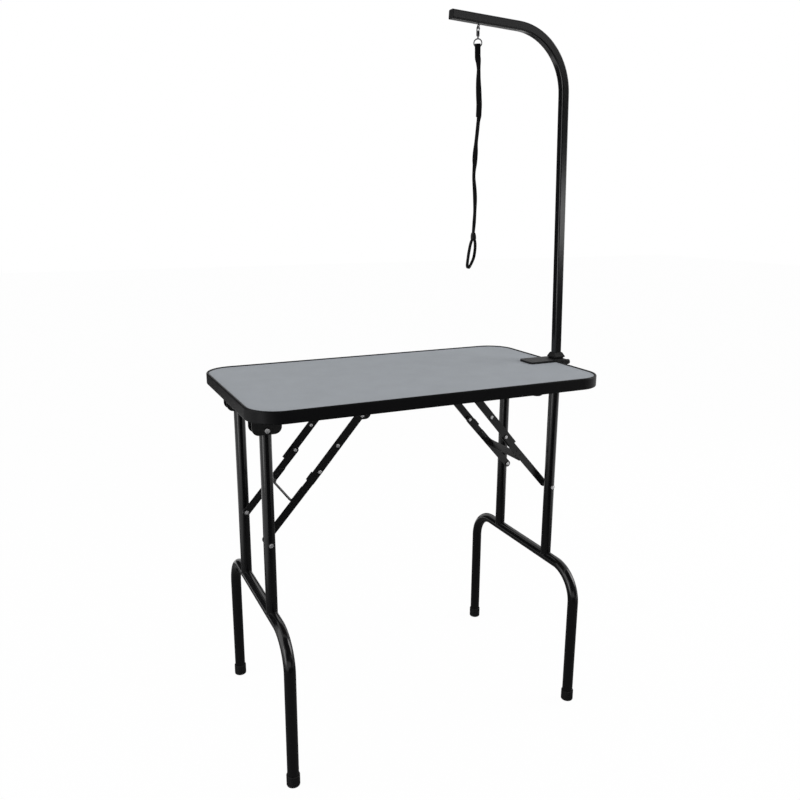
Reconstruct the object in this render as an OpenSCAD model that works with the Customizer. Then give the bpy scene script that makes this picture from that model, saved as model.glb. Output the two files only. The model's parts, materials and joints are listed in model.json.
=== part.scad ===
// Folding grooming table with a clamped arm and a leash.
// The origin is on the floor under the middle of the whole object. +X runs along the top towards the arm,
// +Y runs away from the viewer and +Z is up. All sizes are millimetres.

/* [Table top] */
// Length of the top over its edge trim
top_l = 822; // [800:2:860]
// Width of the top over its edge trim
top_w = 462; // [440:2:520]
// Height of the standing surface above the floor
top_h = 815.5; // [790:0.5:850]
// Corner radius of the top
corner_r = 66; // [40:1:90]
// Height of the standing surface above the foot of the edge trim
trim_h = 24; // [22:0.5:27]
// Thickness of the rubber mat
mat_t = 3; // [2:0.5:4]

/* [Leg frames] */
// Distance from each end of the top to its leg frame
leg_x = 56.5; // [49:0.5:65]
// Half the spacing of a frame's two uprights
upright_y = 106.5; // [100:0.5:120]
// Half the spacing of a frame's two feet
foot_y = 225; // [215:1:250]
// Height of the crossbar's axis above the floor
bar_z = 336.5; // [310:0.5:370]
// Bend radius of the leg tube's axis
bend_r = 75; // [60:1:85]
// Outer diameter of the leg tubes
tube_d = 25; // [23:0.5:25.5]
// Wall of the leg tubes
tube_wall = 1.3; // [1:0.1:2]
// Drop of the left frame's pivots below the standing surface
left_drop = 64.5; // [62:0.5:72]
// Drop of the right frame's pivots below the standing surface
right_drop = 44.5; // [43:0.5:50]

/* [Folding braces] */
// Run from a leg pivot to the brace's pivot at the table
brace_run = 218.5; // [214:0.5:223]
// Drop from a leg pivot to the brace's pivot on the upright
brace_drop = 249.5; // [245:0.5:254]
// How far the knee hangs past the straight line
knee_sag = 1.5; // [1:0.25:3]
// How far the two links of a folded brace stay from lying in one line
fold_slack = 0.2; // [0.1:0.05:1]
// Height of the lower links and their round ends
lower_h = 17; // [16:0.5:18]
// Width of the spreader strip
strip_w = 17.5; // [14:0.5:20]

/* [Arm and clamp] */
// Side of the arm's square tube
arm_s = 19; // [18:0.5:20]
// Lean of the arm towards the table
arm_lean = 1.66; // [0:0.02:2]
// Length of the arm's upright run above the standing surface
arm_rise = 626.5; // [560:0.5:700]
// Bend radius of the arm's axis
arm_bend_r = 138; // [100:1:150]
// Angle the arm turns through at its bend
arm_bend_a = 85.73; // [84:0.01:92]
// Length of the arm's straight end
arm_tip = 168; // [140:1:220]
// Distance from the arm's tip to the eye under it
eye_at = 67; // [40:1:90]

/* [Leash] */
// Width of the strap
strap_w = 12.5; // [10:0.5:13]
// Thickness of the strap
strap_t = 2.2; // [1.6:0.1:2.6]
// Length of the strap's folded end, below the ring
head_l = 16; // [12:1:32]
// Turn of the swivel about the vertical
swivel_turn = -30; // [-60:1:60]
// Lean of the hanging leash away from the vertical
leash_lean = 2; // [0:0.1:3]

/* [Hidden] */
$fn = 64;

// Sides of the table and rows of legs
LEFT = -1;
RIGHT = 1;
FRONT = -1;
REAR = 1;

// Finishes
paint = [0.05, 0.05, 0.055];
rubber = [0.08, 0.08, 0.08];
mat_grey = [0.57, 0.59, 0.62];
wood = [0.55, 0.42, 0.28];
steel = [0.75, 0.75, 0.77];
plastic = [0.06, 0.06, 0.065];
webbing = [0.03, 0.03, 0.03];

// Clearances: parts that slide past each other, parts that run on a pin, and overlap of cutting tools
gap = 0.3;
run_gap = 0.05;
cut = 1;

// Edge trim section
trim_wall = 3;
trim_lip = 6;
trim_round = 2.5;
rim_up = 2.2;
trim_under_t = 1;
trim_under_w = 10;
under_z = top_h - trim_h + trim_under_t;

// Leg frames
frame_x = top_l / 2 - leg_x;
tube_r = tube_d / 2;
tube_bore = tube_r - tube_wall;
upright_over = 10;
foot_wall = 2;
foot_r = tube_r + foot_wall;
foot_h = 26;
foot_floor = 5;
foot_chamfer = 2;
pivot_r = 4;
rivet_head_t = 2.6;
pivot_head_r = 7;
// Shape of a rivet head, as shares of its radius and height: rim, shoulder and crown
head_rim = 0.4;
head_shoulder = [0.72, 0.85];
head_crown = 0.35;

// Leg brackets
ear_w = 62;
ear_t = 2;
ear_clear = 0.5;
ear_gap = tube_r + ear_clear;
ear_round = 15;
ear_foot = 8.5;
screw_r = 2;
screw_l = 15;
screw_head_r = 4;
screw_head_t = 1.8;
leg_screw_x = 24;

// Brace layers, as distances from the middle plane, from the upright inwards
brace_head_t = 2;
upright_in = upright_y - tube_r;
anchor_clear = 0.6;
anchor_out = upright_in - anchor_clear - brace_head_t;
anchor_in = anchor_out - ear_t;
link_t = 3;
upper_out = anchor_in - gap;
upper_in = upper_out - link_t;
inner_head_t = 1.7;
lower_out = upper_in - inner_head_t - 2 * gap;
lower_in = lower_out - link_t;
strip_t = 2;
strip_in = lower_in - strip_t;

// Brace brackets
anchor_w = 40;
anchor_round = 12;
anchor_flange = 24;
anchor_screw_x = 12;
anchor_screw_in = 14.4;

// Brace links
link_r = 3;
link_head_r = 5.5;
link_h = 18.5;
link_rise = 3.25;
stop_over = 30;
stop_from = 10;
mid_rivet_at = 68;
stud_r = 4;
stud_head_r = 6.5;
strip_from = 48;
strip_to = 88;
strip_bend = 10;
strip_rivets = [55, 70];
strip_rivet_r = 2;
strip_head_r = 3.6;
strip_head_t = 1.4;

// Brace points of the right side, as X and height relative to the leg pivot
brace_a = [frame_x - brace_run, 0];
brace_b = [frame_x, -brace_drop];
brace_len = norm(brace_b - brace_a);
brace_dir = (brace_b - brace_a) / brace_len;
brace_up = [-brace_dir[1], brace_dir[0]];
// The knee sits where both links lie back on each other once the frame is folded
knee_at = (brace_len - brace_drop + brace_run + fold_slack) / 2;
brace_k = brace_a + knee_at * brace_dir - knee_sag * brace_up;
upper_len = norm(brace_k - brace_a);
lower_len = norm(brace_b - brace_k);
upper_ang = atan2(brace_k[1] - brace_a[1], brace_k[0] - brace_a[0]);
lower_ang = atan2(brace_b[1] - brace_k[1], brace_b[0] - brace_k[0]);
// The lip at the end of an upper link stops the lower link from passing the locked pose
stop_gap = lower_h / 2 + gap + stop_over * tan(lower_ang - upper_ang);

// Clamp and socket, placed from the end of the table
arm_y = -13;
clamp_y = arm_y;
socket_s = 26;
socket_wall = 2;
socket_clear = 0.5;
clamp_reach = 79;
clamp_over = 14;
clamp_w = 55;
clamp_t = 5;
clamp_round = 9;
jaw_w = 40;
jaw_drop = 50.5;
jaw_reach = 60;
screw_reach = 40;
spindle_r = 5;
pad_r = 13;
pad_t = 6;
pad_seat = 2.5;
grip_r = 14;
grip_t = 22;
grip_drop = 14;
grip_flutes = 6;
grip_flute_r = 6;
grip_flute_out = 3;
socket_up = 8;
bush_s = socket_s - 2 * socket_wall;
bush_flange = 12;
bush_flange_s = 31;
bush_top_s = 21.5;
bush_rim = 3;
knob_drop = 8.5;
knob_r = 6.5;
knob_from = 18;
knob_l = 22;
knob_flutes = 8;
knob_flute_r = 1.2;
knob_flute_out = 0.5;
knob_shank_r = 3;
knob_tip_gap = 0.1;
knob_boss_r = 6;
knob_boss_t = 4;

// The whole object runs from the top's left end to the knob's end, and the origin is half way
top_x = -(socket_clear + socket_s / 2 + knob_from + knob_l) / 2;
end_x = top_x + top_l / 2;
arm_x = end_x + socket_clear + socket_s / 2;
clamp_from = end_x - clamp_reach;
clamp_to = arm_x + clamp_over;
jaw_from = end_x - jaw_reach;
screw_x = end_x - screw_reach;

// Arm tube
arm_wall = 1.4;
arm_round = 3;
arm_low = 48.5;
seam_lap = 0.5;
seam_step = 0.02;
cap_t = 1.5;
plug_l = 12;

// Eye and snap hook, downwards from the arm
eye_wire = 1.25;
eye_ring = 3.6;
eye_stem = 0.5;
hook_wire = 1.3;
hook_clear = 0.4;
hook_bend = eye_wire + hook_clear + hook_wire;
hook_tip = 2.5;
barrel_r = 3.4;
barrel_top = 6;
barrel_low = 16;
bolt_r = 1.1;
bolt_x = 1.9;
bolt_gap = 0.2;
bolt_l = 5.8;
bolt_bore = 6.6;
stud_turn = 225;
stud_l = 7;
stud_out = 1;
stud_pin_r = 0.8;
stud_drop = 2;
swivel_r = 1.3;
swivel_bore = 2.8;
ring_wire = 1.35;
ring_r = 8.5;
ring_drop = 29.6;
ring_neck = 2;

// Points of the arm in its own plane, then in the table's frame
function arm_plane(along, off) = [
  -arm_bend_r + (arm_bend_r - off) * cos(arm_bend_a) - along * sin(arm_bend_a),
  arm_rise + (arm_bend_r - off) * sin(arm_bend_a) + along * cos(arm_bend_a)
];
function from_arm(p) = [
  arm_x + p[0] * cos(arm_lean) - p[1] * sin(arm_lean),
  top_h + p[0] * sin(arm_lean) + p[1] * cos(arm_lean)
];
eye_along = arm_tip - eye_at;
eye_off = arm_s / 2 + eye_stem + eye_ring + eye_wire;
wire_mid = from_arm(arm_plane(eye_along, eye_off + eye_ring));
hang_x = wire_mid[0];
hang_z = wire_mid[1];
ring_z = hang_z - ring_drop;

// Strap's route below its folded end: sideways, forwards and downwards, and the strap's turn
strap_route = [
  [0, 0, 0, 0], [0.5, 0, -6, -25], [1.5, 0, -14, -52], [2, 0, -24, -66], [2, 0, -30, -67],
  [1.5, 0, -48, -54], [2, 0, -68, -37], [2.5, 0, -84, -31], [3, 0, -100, -31], [2, 0, -122, -33],
  [2, 0, -125, -41], [1, 0, -134, -54], [-1, 0, -154, -55], [-4, 0, -180, -54], [-5.5, 1, -200, -29],
  [-6.5, 1, -214, -28], [-7, 1, -226, -45], [-8.5, 1, -240, -58], [-9, 1, -255, -60], [-7.5, 0, -276, -51],
  [-6.5, 0, -299, -49], [-7, -1, -328, -60], [-8.5, -0.5, -352, -57], [-10.5, 0, -375, -64]
];
// Where the sewn double part ends along the route
sewn_l = 124.5;
// Outline of the hanging loop below the slider: sideways and downwards
loop_route = [
  [2.6, 0], [4.2, -7], [4.5, -15], [4.1, -23], [2.8, -32], [0.6, -42], [-3, -50], [-7.2, -57.5],
  [-11.2, -63.5], [-14.2, -65], [-16, -60], [-15.3, -52], [-13.8, -42], [-12, -31], [-10, -22],
  [-8.2, -14], [-5.8, -6.5], [-2.6, 0]
];
strap_steps = 2;
loop_steps = 3;
slider_h = 15;
slider_w = 14;
slider_t = 9;
wire_clear = 0.4;
fold_w = 2 * (ring_wire + wire_clear);
ring_inside = sqrt(pow(ring_r - ring_wire, 2) - pow(strap_w / 2, 2));
fold_h = ring_r + ring_wire - ring_inside + 2 * wire_clear;
head_top = ring_z - ring_r - ring_wire - wire_clear;
strap_end = strap_route[len(strap_route) - 1];

// General shapes

// Frame in the middle of the top's length
module at_top(z) {
  translate([top_x, 0, z]) children();
}

// Mirrors a piece from the right rear corner to another corner
module at_corner(side, row) {
  at_top(0) {
    if (side < 0 && row < 0) rotate([0, 0, 180]) children();
    if (side < 0 && row > 0) mirror([1, 0, 0]) children();
    if (side > 0 && row < 0) mirror([0, 1, 0]) children();
    if (side > 0 && row > 0) children();
  }
}

// Extrudes an outline drawn in X and Z between two distances along Y
module xz_plate(y0, y1) {
  translate([0, y1, 0]) rotate([90, 0, 0]) linear_extrude(y1 - y0) children();
}

// Round pin along Y
module y_pin(p, r, y0, y1) {
  translate([p[0], y0, p[1]]) rotate([-90, 0, 0]) cylinder(r = r, h = y1 - y0);
}

// Rectangle with four round corners
module round_rect(l, w, r) {
  square([l - 2 * r, w], center = true);
  square([l, w - 2 * r], center = true);
  for (x = [-1, 1], y = [-1, 1]) translate([x * (l / 2 - r), y * (w / 2 - r)]) circle(r);
}

// Round rivet head whose rim is eased, standing on the plane z = 0
module rivet_head(r, t) {
  rotate_extrude() polygon([
    [0, 0], [r, 0], [r, t * head_rim],
    [r * head_shoulder[0], t * head_shoulder[1]], [r * head_crown, t], [0, t]
  ]);
}

// Rivet head along Y, at distance y and facing away (1) or towards (-1) the middle plane
module y_head(p, r, t, y, face) {
  translate([p[0], y, p[1]]) rotate([-90 * face, 0, 0]) rivet_head(r, t);
}

// Height of a side's leg pivots
function pivot_z(side) = top_h - (side < 0 ? left_drop : right_drop);

// Lifts a brace point to the side's pivot height
function lifted(p, side) = [p[0], p[1] + pivot_z(side)];

// Places of all bracket screws
module at_screws() {
  for (side = [LEFT, RIGHT], row = [FRONT, REAR]) at_corner(side, row) {
    for (s = [-1, 1]) {
      translate([frame_x + s * leg_screw_x, upright_y, under_z]) children();
      translate([brace_a[0] + s * anchor_screw_x, anchor_out - anchor_screw_in, under_z]) children();
    }
  }
}

// Table top

module board() {
  color(wood) difference() {
    at_top(under_z) linear_extrude(trim_h - trim_under_t - mat_t)
      round_rect(top_l - 2 * trim_wall, top_w - 2 * trim_wall, corner_r - trim_wall);
    at_screws() translate([0, 0, -cut]) cylinder(r = screw_r, h = screw_l + cut);
  }
}

module mat() {
  color(mat_grey) at_top(top_h - mat_t) linear_extrude(mat_t)
    round_rect(top_l - 2 * trim_lip, top_w - 2 * trim_lip, corner_r - trim_lip);
}

// Section of the trim, with its outer face on the axis and its foot on the other. Its round rim stands
// a little above the mat.
module trim_section() {
  rim_r = trim_lip / 2;
  rim_z = trim_h + rim_up - rim_r;
  translate([-trim_wall, 0]) square([trim_wall - trim_round, trim_round]);
  translate([-trim_wall, trim_round]) square([trim_wall, rim_z - trim_round]);
  intersection() {
    translate([-trim_round, trim_round]) circle(trim_round);
    translate([-trim_round, 0]) square(trim_round);
  }
  intersection() {
    translate([-rim_r, rim_z]) circle(rim_r);
    translate([-trim_lip, rim_z]) square([trim_lip, rim_r]);
  }
  translate([-trim_lip, trim_h - mat_t]) square([trim_lip - trim_wall, rim_z - trim_h + mat_t]);
  translate([-trim_under_w, 0]) square([trim_under_w - trim_round, trim_under_t]);
}

// Room above the mat that the clamp's plate takes up, where it presses the trim's rim flat
module plate_seat() {
  translate([clamp_from - gap, clamp_y - clamp_w / 2 - gap, top_h])
    cube([clamp_to - clamp_from + 2 * gap, clamp_w + 2 * gap, clamp_t]);
}

module edge_trim() {
  run_x = top_l / 2 - corner_r;
  run_y = top_w / 2 - corner_r;
  color(rubber) difference() {
    at_top(top_h - trim_h) for (s = [0, 180]) rotate([0, 0, s]) {
      translate([top_l / 2, run_y, 0]) rotate([90, 0, 0]) linear_extrude(2 * run_y) trim_section();
      translate([run_x, run_y, 0]) rotate_extrude(angle = 90) translate([corner_r, 0]) trim_section();
      rotate([0, 0, 90]) translate([top_w / 2, run_x, 0]) rotate([90, 0, 0])
        linear_extrude(2 * run_x) trim_section();
      translate([-run_x, run_y, 0]) rotate([0, 0, 90])
        rotate_extrude(angle = 90) translate([corner_r, 0]) trim_section();
    }
    plate_seat();
  }
}

// Brackets and their fasteners

// Outline of a bracket ear round a pivot, with two round lower corners
module ear_outline(x, z, w, r) {
  low = z - ear_foot;
  translate([x - w / 2, low + r]) square([w, under_z - low - r]);
  translate([x - w / 2 + r, low]) square([w - 2 * r, r]);
  for (s = [-1, 1]) translate([x + s * (w / 2 - r), low + r]) circle(r);
}

module leg_bracket(side, row) {
  z = pivot_z(side);
  cheek = ear_gap + ear_t;
  color(paint) at_corner(side, row) difference() {
    union() {
      xz_plate(upright_y + ear_gap, upright_y + cheek) ear_outline(frame_x, z, ear_w, ear_round);
      xz_plate(upright_y - cheek, upright_y - ear_gap) ear_outline(frame_x, z, ear_w, ear_round);
      translate([frame_x - ear_w / 2, upright_y - cheek, under_z - ear_t]) cube([ear_w, 2 * cheek, ear_t]);
    }
    y_pin([frame_x, z], pivot_r, upright_y - cheek - cut, upright_y + cheek + cut);
    for (s = [-1, 1]) translate([frame_x + s * leg_screw_x, upright_y, under_z - ear_t - cut])
      cylinder(r = screw_r, h = ear_t + 2 * cut);
  }
}

module brace_bracket(side, row) {
  a = lifted(brace_a, side);
  color(paint) at_corner(side, row) difference() {
    union() {
      xz_plate(anchor_in, anchor_out) ear_outline(a[0], a[1], anchor_w, anchor_round);
      translate([a[0] - anchor_w / 2, anchor_out - anchor_flange, under_z - ear_t])
        cube([anchor_w, anchor_flange, ear_t]);
    }
    y_pin(a, link_r, anchor_in - cut, anchor_out + cut);
    for (s = [-1, 1])
      translate([a[0] + s * anchor_screw_x, anchor_out - anchor_screw_in, under_z - ear_t - cut])
        cylinder(r = screw_r, h = ear_t + 2 * cut);
  }
}

module bracket_screws() {
  color(steel) at_screws() translate([0, 0, -ear_t]) {
    cylinder(r = screw_r, h = screw_l + ear_t - cut);
    mirror([0, 0, 1]) rivet_head(screw_head_r, screw_head_t);
  }
}

module leg_pivot_rivets() {
  cheek = ear_gap + ear_t;
  color(steel) for (side = [LEFT, RIGHT], row = [FRONT, REAR]) at_corner(side, row) {
    p = [frame_x, pivot_z(side)];
    y_pin(p, pivot_r, upright_y - cheek, upright_y + cheek);
    y_head(p, pivot_head_r, rivet_head_t, upright_y + cheek, 1);
    y_head(p, pivot_head_r, brace_head_t, upright_y - cheek, -1);
  }
}

module brace_pivot_rivets() {
  color(steel) for (side = [LEFT, RIGHT], row = [FRONT, REAR]) at_corner(side, row) {
    a = lifted(brace_a, side);
    y_pin(a, link_r, upper_in - gap, anchor_out);
    y_head(a, link_head_r, brace_head_t, anchor_out, 1);
    y_head(a, link_head_r, inner_head_t, upper_in - gap, -1);
  }
}

// Leg frames

// Both legs, both bends and the crossbar of a frame, as one round bar in the plane x = 0
module u_bar(r, low) {
  side_y = foot_y - bend_r;
  side_z = bar_z - bend_r;
  for (row = [FRONT, REAR]) {
    translate([0, row * foot_y, low]) cylinder(r = r, h = side_z - low);
  }
  translate([0, side_y, side_z]) rotate([90, 0, 90]) rotate_extrude(angle = 90)
    translate([bend_r, 0]) circle(r);
  mirror([0, 1, 0]) translate([0, side_y, side_z]) rotate([90, 0, 90]) rotate_extrude(angle = 90)
    translate([bend_r, 0]) circle(r);
  y_pin([0, bar_z], r, -side_y, side_y);
}

module u_tube(side) {
  color(paint) at_top(0) translate([side * frame_x, 0, 0]) difference() {
    u_bar(tube_r, foot_floor);
    u_bar(tube_bore, foot_floor - cut);
  }
}

module upright(side, row) {
  z = pivot_z(side);
  rise = z + upright_over - bar_z;
  far = 2 * tube_r;
  color(paint) at_corner(side, row) difference() {
    translate([frame_x, upright_y, bar_z]) cylinder(r = tube_r, h = rise);
    translate([frame_x, upright_y, bar_z - cut]) cylinder(r = tube_bore, h = rise + 2 * cut);
    y_pin([frame_x, bar_z], tube_r, upright_y - far, upright_y + far);
    y_pin([frame_x, z], pivot_r + run_gap, upright_y - far, upright_y + far);
    y_pin(lifted(brace_b, side), stud_r, upright_y - far, upright_y + far);
  }
}

module foot(side, row) {
  color(rubber) at_corner(side, row) translate([frame_x, foot_y, 0]) rotate_extrude() polygon([
    [0, 0], [foot_r - foot_chamfer, 0], [foot_r, foot_chamfer], [foot_r, foot_h - foot_chamfer / 2],
    [foot_r - foot_chamfer / 2, foot_h], [tube_r, foot_h], [tube_r, foot_floor], [0, foot_floor]
  ]);
}

// Shouldered rivets that hold the braces off the uprights
module leg_rivets(side) {
  b = lifted(brace_b, side);
  color(steel) for (row = [FRONT, REAR]) at_corner(side, row) {
    y_pin(b, stud_r, upright_in, upright_y + tube_r);
    y_head(b, stud_head_r, rivet_head_t, upright_y + tube_r, 1);
    y_pin(b, stud_head_r, lower_out + gap, upright_in);
  }
}

// Folding braces

module upper_link(side, row) {
  a = lifted(brace_a, side);
  color(paint) at_corner(side, row) difference() {
    union() {
      xz_plate(upper_in, upper_out) translate(a) rotate(upper_ang) {
        translate([0, link_rise]) circle(link_h / 2);
        translate([0, link_rise - link_h / 2]) square([upper_len + stop_over, link_h]);
      }
      xz_plate(lower_in, upper_in) translate(a) rotate(upper_ang)
        translate([upper_len + stop_from, stop_gap])
          square([stop_over - stop_from, link_rise + link_h / 2 - stop_gap]);
    }
    y_pin(a, link_r + run_gap, upper_in - cut, upper_out + cut);
    y_pin(lifted(brace_k, side), link_r + run_gap, upper_in - cut, upper_out + cut);
    y_pin(mid_rivet(side), link_r, upper_in - cut, upper_out + cut);
  }
}

// Place of the rivet half way along an upper link
function mid_rivet(side) = lifted(brace_a, side)
  + (upper_len - mid_rivet_at) * [cos(upper_ang), sin(upper_ang)]
  + link_rise * [-sin(upper_ang), cos(upper_ang)];

module link_rivet(side, row) {
  p = mid_rivet(side);
  color(steel) at_corner(side, row) {
    y_pin(p, link_r, upper_in, upper_out);
    y_head(p, link_head_r, brace_head_t, upper_out, 1);
    y_head(p, link_head_r, inner_head_t, upper_in, -1);
  }
}

// Points along a lower link, measured from its knee
function on_lower(u, side) = lifted(brace_k, side) + u * [cos(lower_ang), sin(lower_ang)];

module lower_link(side, row) {
  k = lifted(brace_k, side);
  b = lifted(brace_b, side);
  color(paint) at_corner(side, row) difference() {
    xz_plate(lower_in, lower_out) translate(k) rotate(lower_ang) {
      circle(lower_h / 2);
      translate([lower_len, 0]) circle(lower_h / 2);
      translate([0, -lower_h / 2]) square([lower_len, lower_h]);
    }
    y_pin(k, link_r, lower_in - cut, lower_out + cut);
    y_pin(b, stud_r, lower_in - cut, lower_out + cut);
    for (u = strip_rivets) y_pin(on_lower(u, side), strip_rivet_r, lower_in - cut, lower_out + cut);
  }
}

// Half of a strip's outline: a run that ends in two round corners
module strip_plan(half, r) {
  run = strip_to - strip_from;
  translate([strip_from, -half]) square([run - r, 2 * half]);
  translate([strip_from, r - half]) square([run, 2 * (half - r)]);
  for (s = [-1, 1]) translate([strip_to - r, s * (half - r)]) circle(r);
}

module spreader(side) {
  k = lifted(brace_k, side);
  color(paint) at_corner(side, REAR) difference() {
    translate([k[0], 0, k[1]]) rotate([0, -lower_ang, 0]) translate([0, 0, -strip_w / 2])
      linear_extrude(strip_w) difference() {
        strip_plan(lower_in, strip_bend);
        translate([-strip_t, 0]) strip_plan(strip_in, strip_bend - strip_t);
      }
    for (u = strip_rivets)
      y_pin(on_lower(u, side), strip_rivet_r, -lower_in - cut, lower_in + cut);
  }
}

module brace_rivets(side) {
  k = lifted(brace_k, side);
  b = lifted(brace_b, side);
  color(steel) for (row = [FRONT, REAR]) at_corner(side, row) {
    y_pin(k, link_r, lower_in, upper_out + gap);
    y_head(k, link_head_r, brace_head_t - gap, upper_out + gap, 1);
    y_pin(k, link_head_r, lower_out, upper_in - gap);
    y_head(k, link_head_r, inner_head_t, lower_in, -1);
    y_pin(b, stud_r, lower_in, lower_out);
    y_head(b, stud_head_r, brace_head_t, lower_in, -1);
    for (u = strip_rivets) {
      y_pin(on_lower(u, side), strip_rivet_r, strip_in, lower_out);
      y_head(on_lower(u, side), strip_head_r, strip_head_t, strip_in, -1);
    }
  }
}

// Clamp, socket and arm

// Places a piece on the leaning axis of the arm, with z = 0 level with the standing surface
module on_arm() {
  translate([arm_x, arm_y, top_h]) rotate([0, -arm_lean, 0]) children();
}

// Square bar on the arm's axis
module arm_bar(s, low, high) {
  translate([-s / 2, -s / 2, low]) cube([s, s, high - low]);
}

// Flat jaw with round corners at its free end and a square hole for the socket
module jaw_plate(x0, w, z) {
  difference() {
    translate([0, clamp_y, z]) linear_extrude(clamp_t) {
      translate([x0 + clamp_round, -w / 2]) square([clamp_to - x0 - clamp_round, w]);
      translate([x0, -w / 2 + clamp_round]) square([clamp_to - x0, w - 2 * clamp_round]);
      for (s = [-1, 1]) translate([x0 + clamp_round, s * (w / 2 - clamp_round)]) circle(clamp_round);
    }
    on_arm() arm_bar(socket_s, -2 * jaw_drop, 2 * jaw_drop);
  }
}

module clamp_plate() {
  color(paint) jaw_plate(clamp_from, clamp_w, top_h);
}

module clamp_jaw() {
  color(paint) difference() {
    jaw_plate(jaw_from, jaw_w, top_h - jaw_drop);
    translate([screw_x, clamp_y, top_h - jaw_drop - cut])
      cylinder(r = spindle_r + run_gap, h = clamp_t + 2 * cut);
  }
}

module arm_socket() {
  color(paint) on_arm() difference() {
    union() {
      arm_bar(socket_s, -jaw_drop - cut, socket_up);
      translate([socket_s / 2, 0, -knob_drop]) rotate([0, 90, 0])
        cylinder(r = knob_boss_r, h = knob_boss_t);
    }
    arm_bar(bush_s, -2 * jaw_drop, socket_up + cut);
    translate([0, 0, -knob_drop]) rotate([0, 90, 0])
      cylinder(r = knob_shank_r + run_gap, h = socket_s + knob_boss_t);
  }
}

module socket_bush() {
  flare = [
    [-bush_flange_s / 2, 0], [bush_flange_s / 2, 0], [bush_flange_s / 2, bush_rim],
    [bush_top_s / 2, bush_flange], [-bush_top_s / 2, bush_flange], [-bush_flange_s / 2, bush_rim]
  ];
  color(plastic) on_arm() difference() {
    union() {
      arm_bar(bush_s, -jaw_drop - cut, socket_up);
      translate([0, 0, socket_up]) intersection() {
        xz_plate(-bush_flange_s / 2, bush_flange_s / 2) polygon(flare);
        rotate([0, 0, 90]) xz_plate(-bush_flange_s / 2, bush_flange_s / 2) polygon(flare);
      }
    }
    arm_bar(arm_s + 2 * run_gap, -2 * jaw_drop, socket_up + bush_flange + cut);
    translate([0, 0, -knob_drop]) rotate([0, 90, 0]) cylinder(r = knob_shank_r + run_gap, h = socket_s);
  }
}

module clamp_screw() {
  pad_low = under_z - pad_t;
  jaw_low = top_h - jaw_drop;
  color(steel) translate([screw_x, clamp_y, 0]) {
    translate([0, 0, jaw_low - grip_drop])
      cylinder(r = spindle_r, h = pad_low + pad_seat - jaw_low + grip_drop);
    translate([0, 0, jaw_low - grip_drop - grip_t]) difference() {
      cylinder(r = grip_r, h = grip_t);
      for (i = [1:grip_flutes]) rotate([0, 0, 360 / grip_flutes * i])
        translate([grip_r + grip_flute_out, 0, -cut]) cylinder(r = grip_flute_r, h = grip_t + 2 * cut);
    }
  }
}

module clamp_pad() {
  color(rubber) translate([screw_x, clamp_y, under_z - pad_t]) difference() {
    cylinder(r = pad_r, h = pad_t);
    translate([0, 0, -cut]) cylinder(r = spindle_r + run_gap, h = pad_seat + cut);
  }
}

module arm_knob() {
  color(plastic) on_arm() translate([0, 0, -knob_drop]) rotate([0, 90, 0]) {
    translate([0, 0, arm_s / 2 + knob_tip_gap]) cylinder(r = knob_shank_r, h = knob_from - arm_s / 2);
    translate([0, 0, knob_from]) difference() {
      cylinder(r = knob_r, h = knob_l);
      for (i = [1:knob_flutes]) rotate([0, 0, 360 / knob_flutes * i])
        translate([knob_r + knob_flute_out, 0, -cut]) cylinder(r = knob_flute_r, h = knob_l + 2 * cut);
    }
  }
}

// Section of the arm's square tube
module arm_section(inset) {
  round_rect(arm_s - 2 * inset, arm_s - 2 * inset, arm_round - inset);
}

// The arm's whole run as a bar, drawn in its own leaning frame
module arm_run(inset, extra) {
  translate([0, 0, -arm_low - extra]) linear_extrude(arm_rise + arm_low + extra) arm_section(inset);
  translate([-arm_bend_r, 0, arm_rise]) rotate([90, 0, 0]) rotate_extrude(angle = arm_bend_a)
    translate([arm_bend_r, 0]) arm_section(inset);
  at_arm_tip(-seam_lap) linear_extrude(arm_tip + seam_lap + extra) arm_section(inset - seam_step);
}

// Frame whose z runs along the arm's straight end, at a distance past the bend
module at_arm_tip(along) {
  translate([-arm_bend_r, 0, arm_rise]) rotate([0, -arm_bend_a, 0]) translate([arm_bend_r, 0, along])
    children();
}

module arm() {
  color(paint) on_arm() difference() {
    arm_run(0, 0);
    arm_run(arm_wall, cut);
  }
}

// Plastic plug that closes an end of the arm, its face outwards along -z
module end_plug() {
  translate([0, 0, -cap_t]) linear_extrude(cap_t) arm_section(0);
  linear_extrude(plug_l) arm_section(arm_wall);
}

module arm_tip_cap() {
  color(plastic) on_arm() at_arm_tip(arm_tip) rotate([0, 180, 0]) end_plug();
}

module arm_foot_cap() {
  color(plastic) on_arm() translate([0, 0, -arm_low]) end_plug();
}

// Eye under the arm: a short stem and a ring across the arm
module arm_eye() {
  stem_top = -arm_s / 2;
  color(steel) on_arm() at_arm_tip(eye_along) {
    translate([-eye_off, 0, 0]) rotate_extrude() translate([eye_ring, 0]) circle(eye_wire);
    translate([stem_top, 0, 0]) rotate([0, -90, 0]) cylinder(r = eye_wire, h = eye_stem + eye_wire);
  }
}

// Snap hook and leash

// Places a piece at the hanging point under the arm
module at_hang() {
  translate([hang_x, arm_y, hang_z]) children();
}

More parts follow.
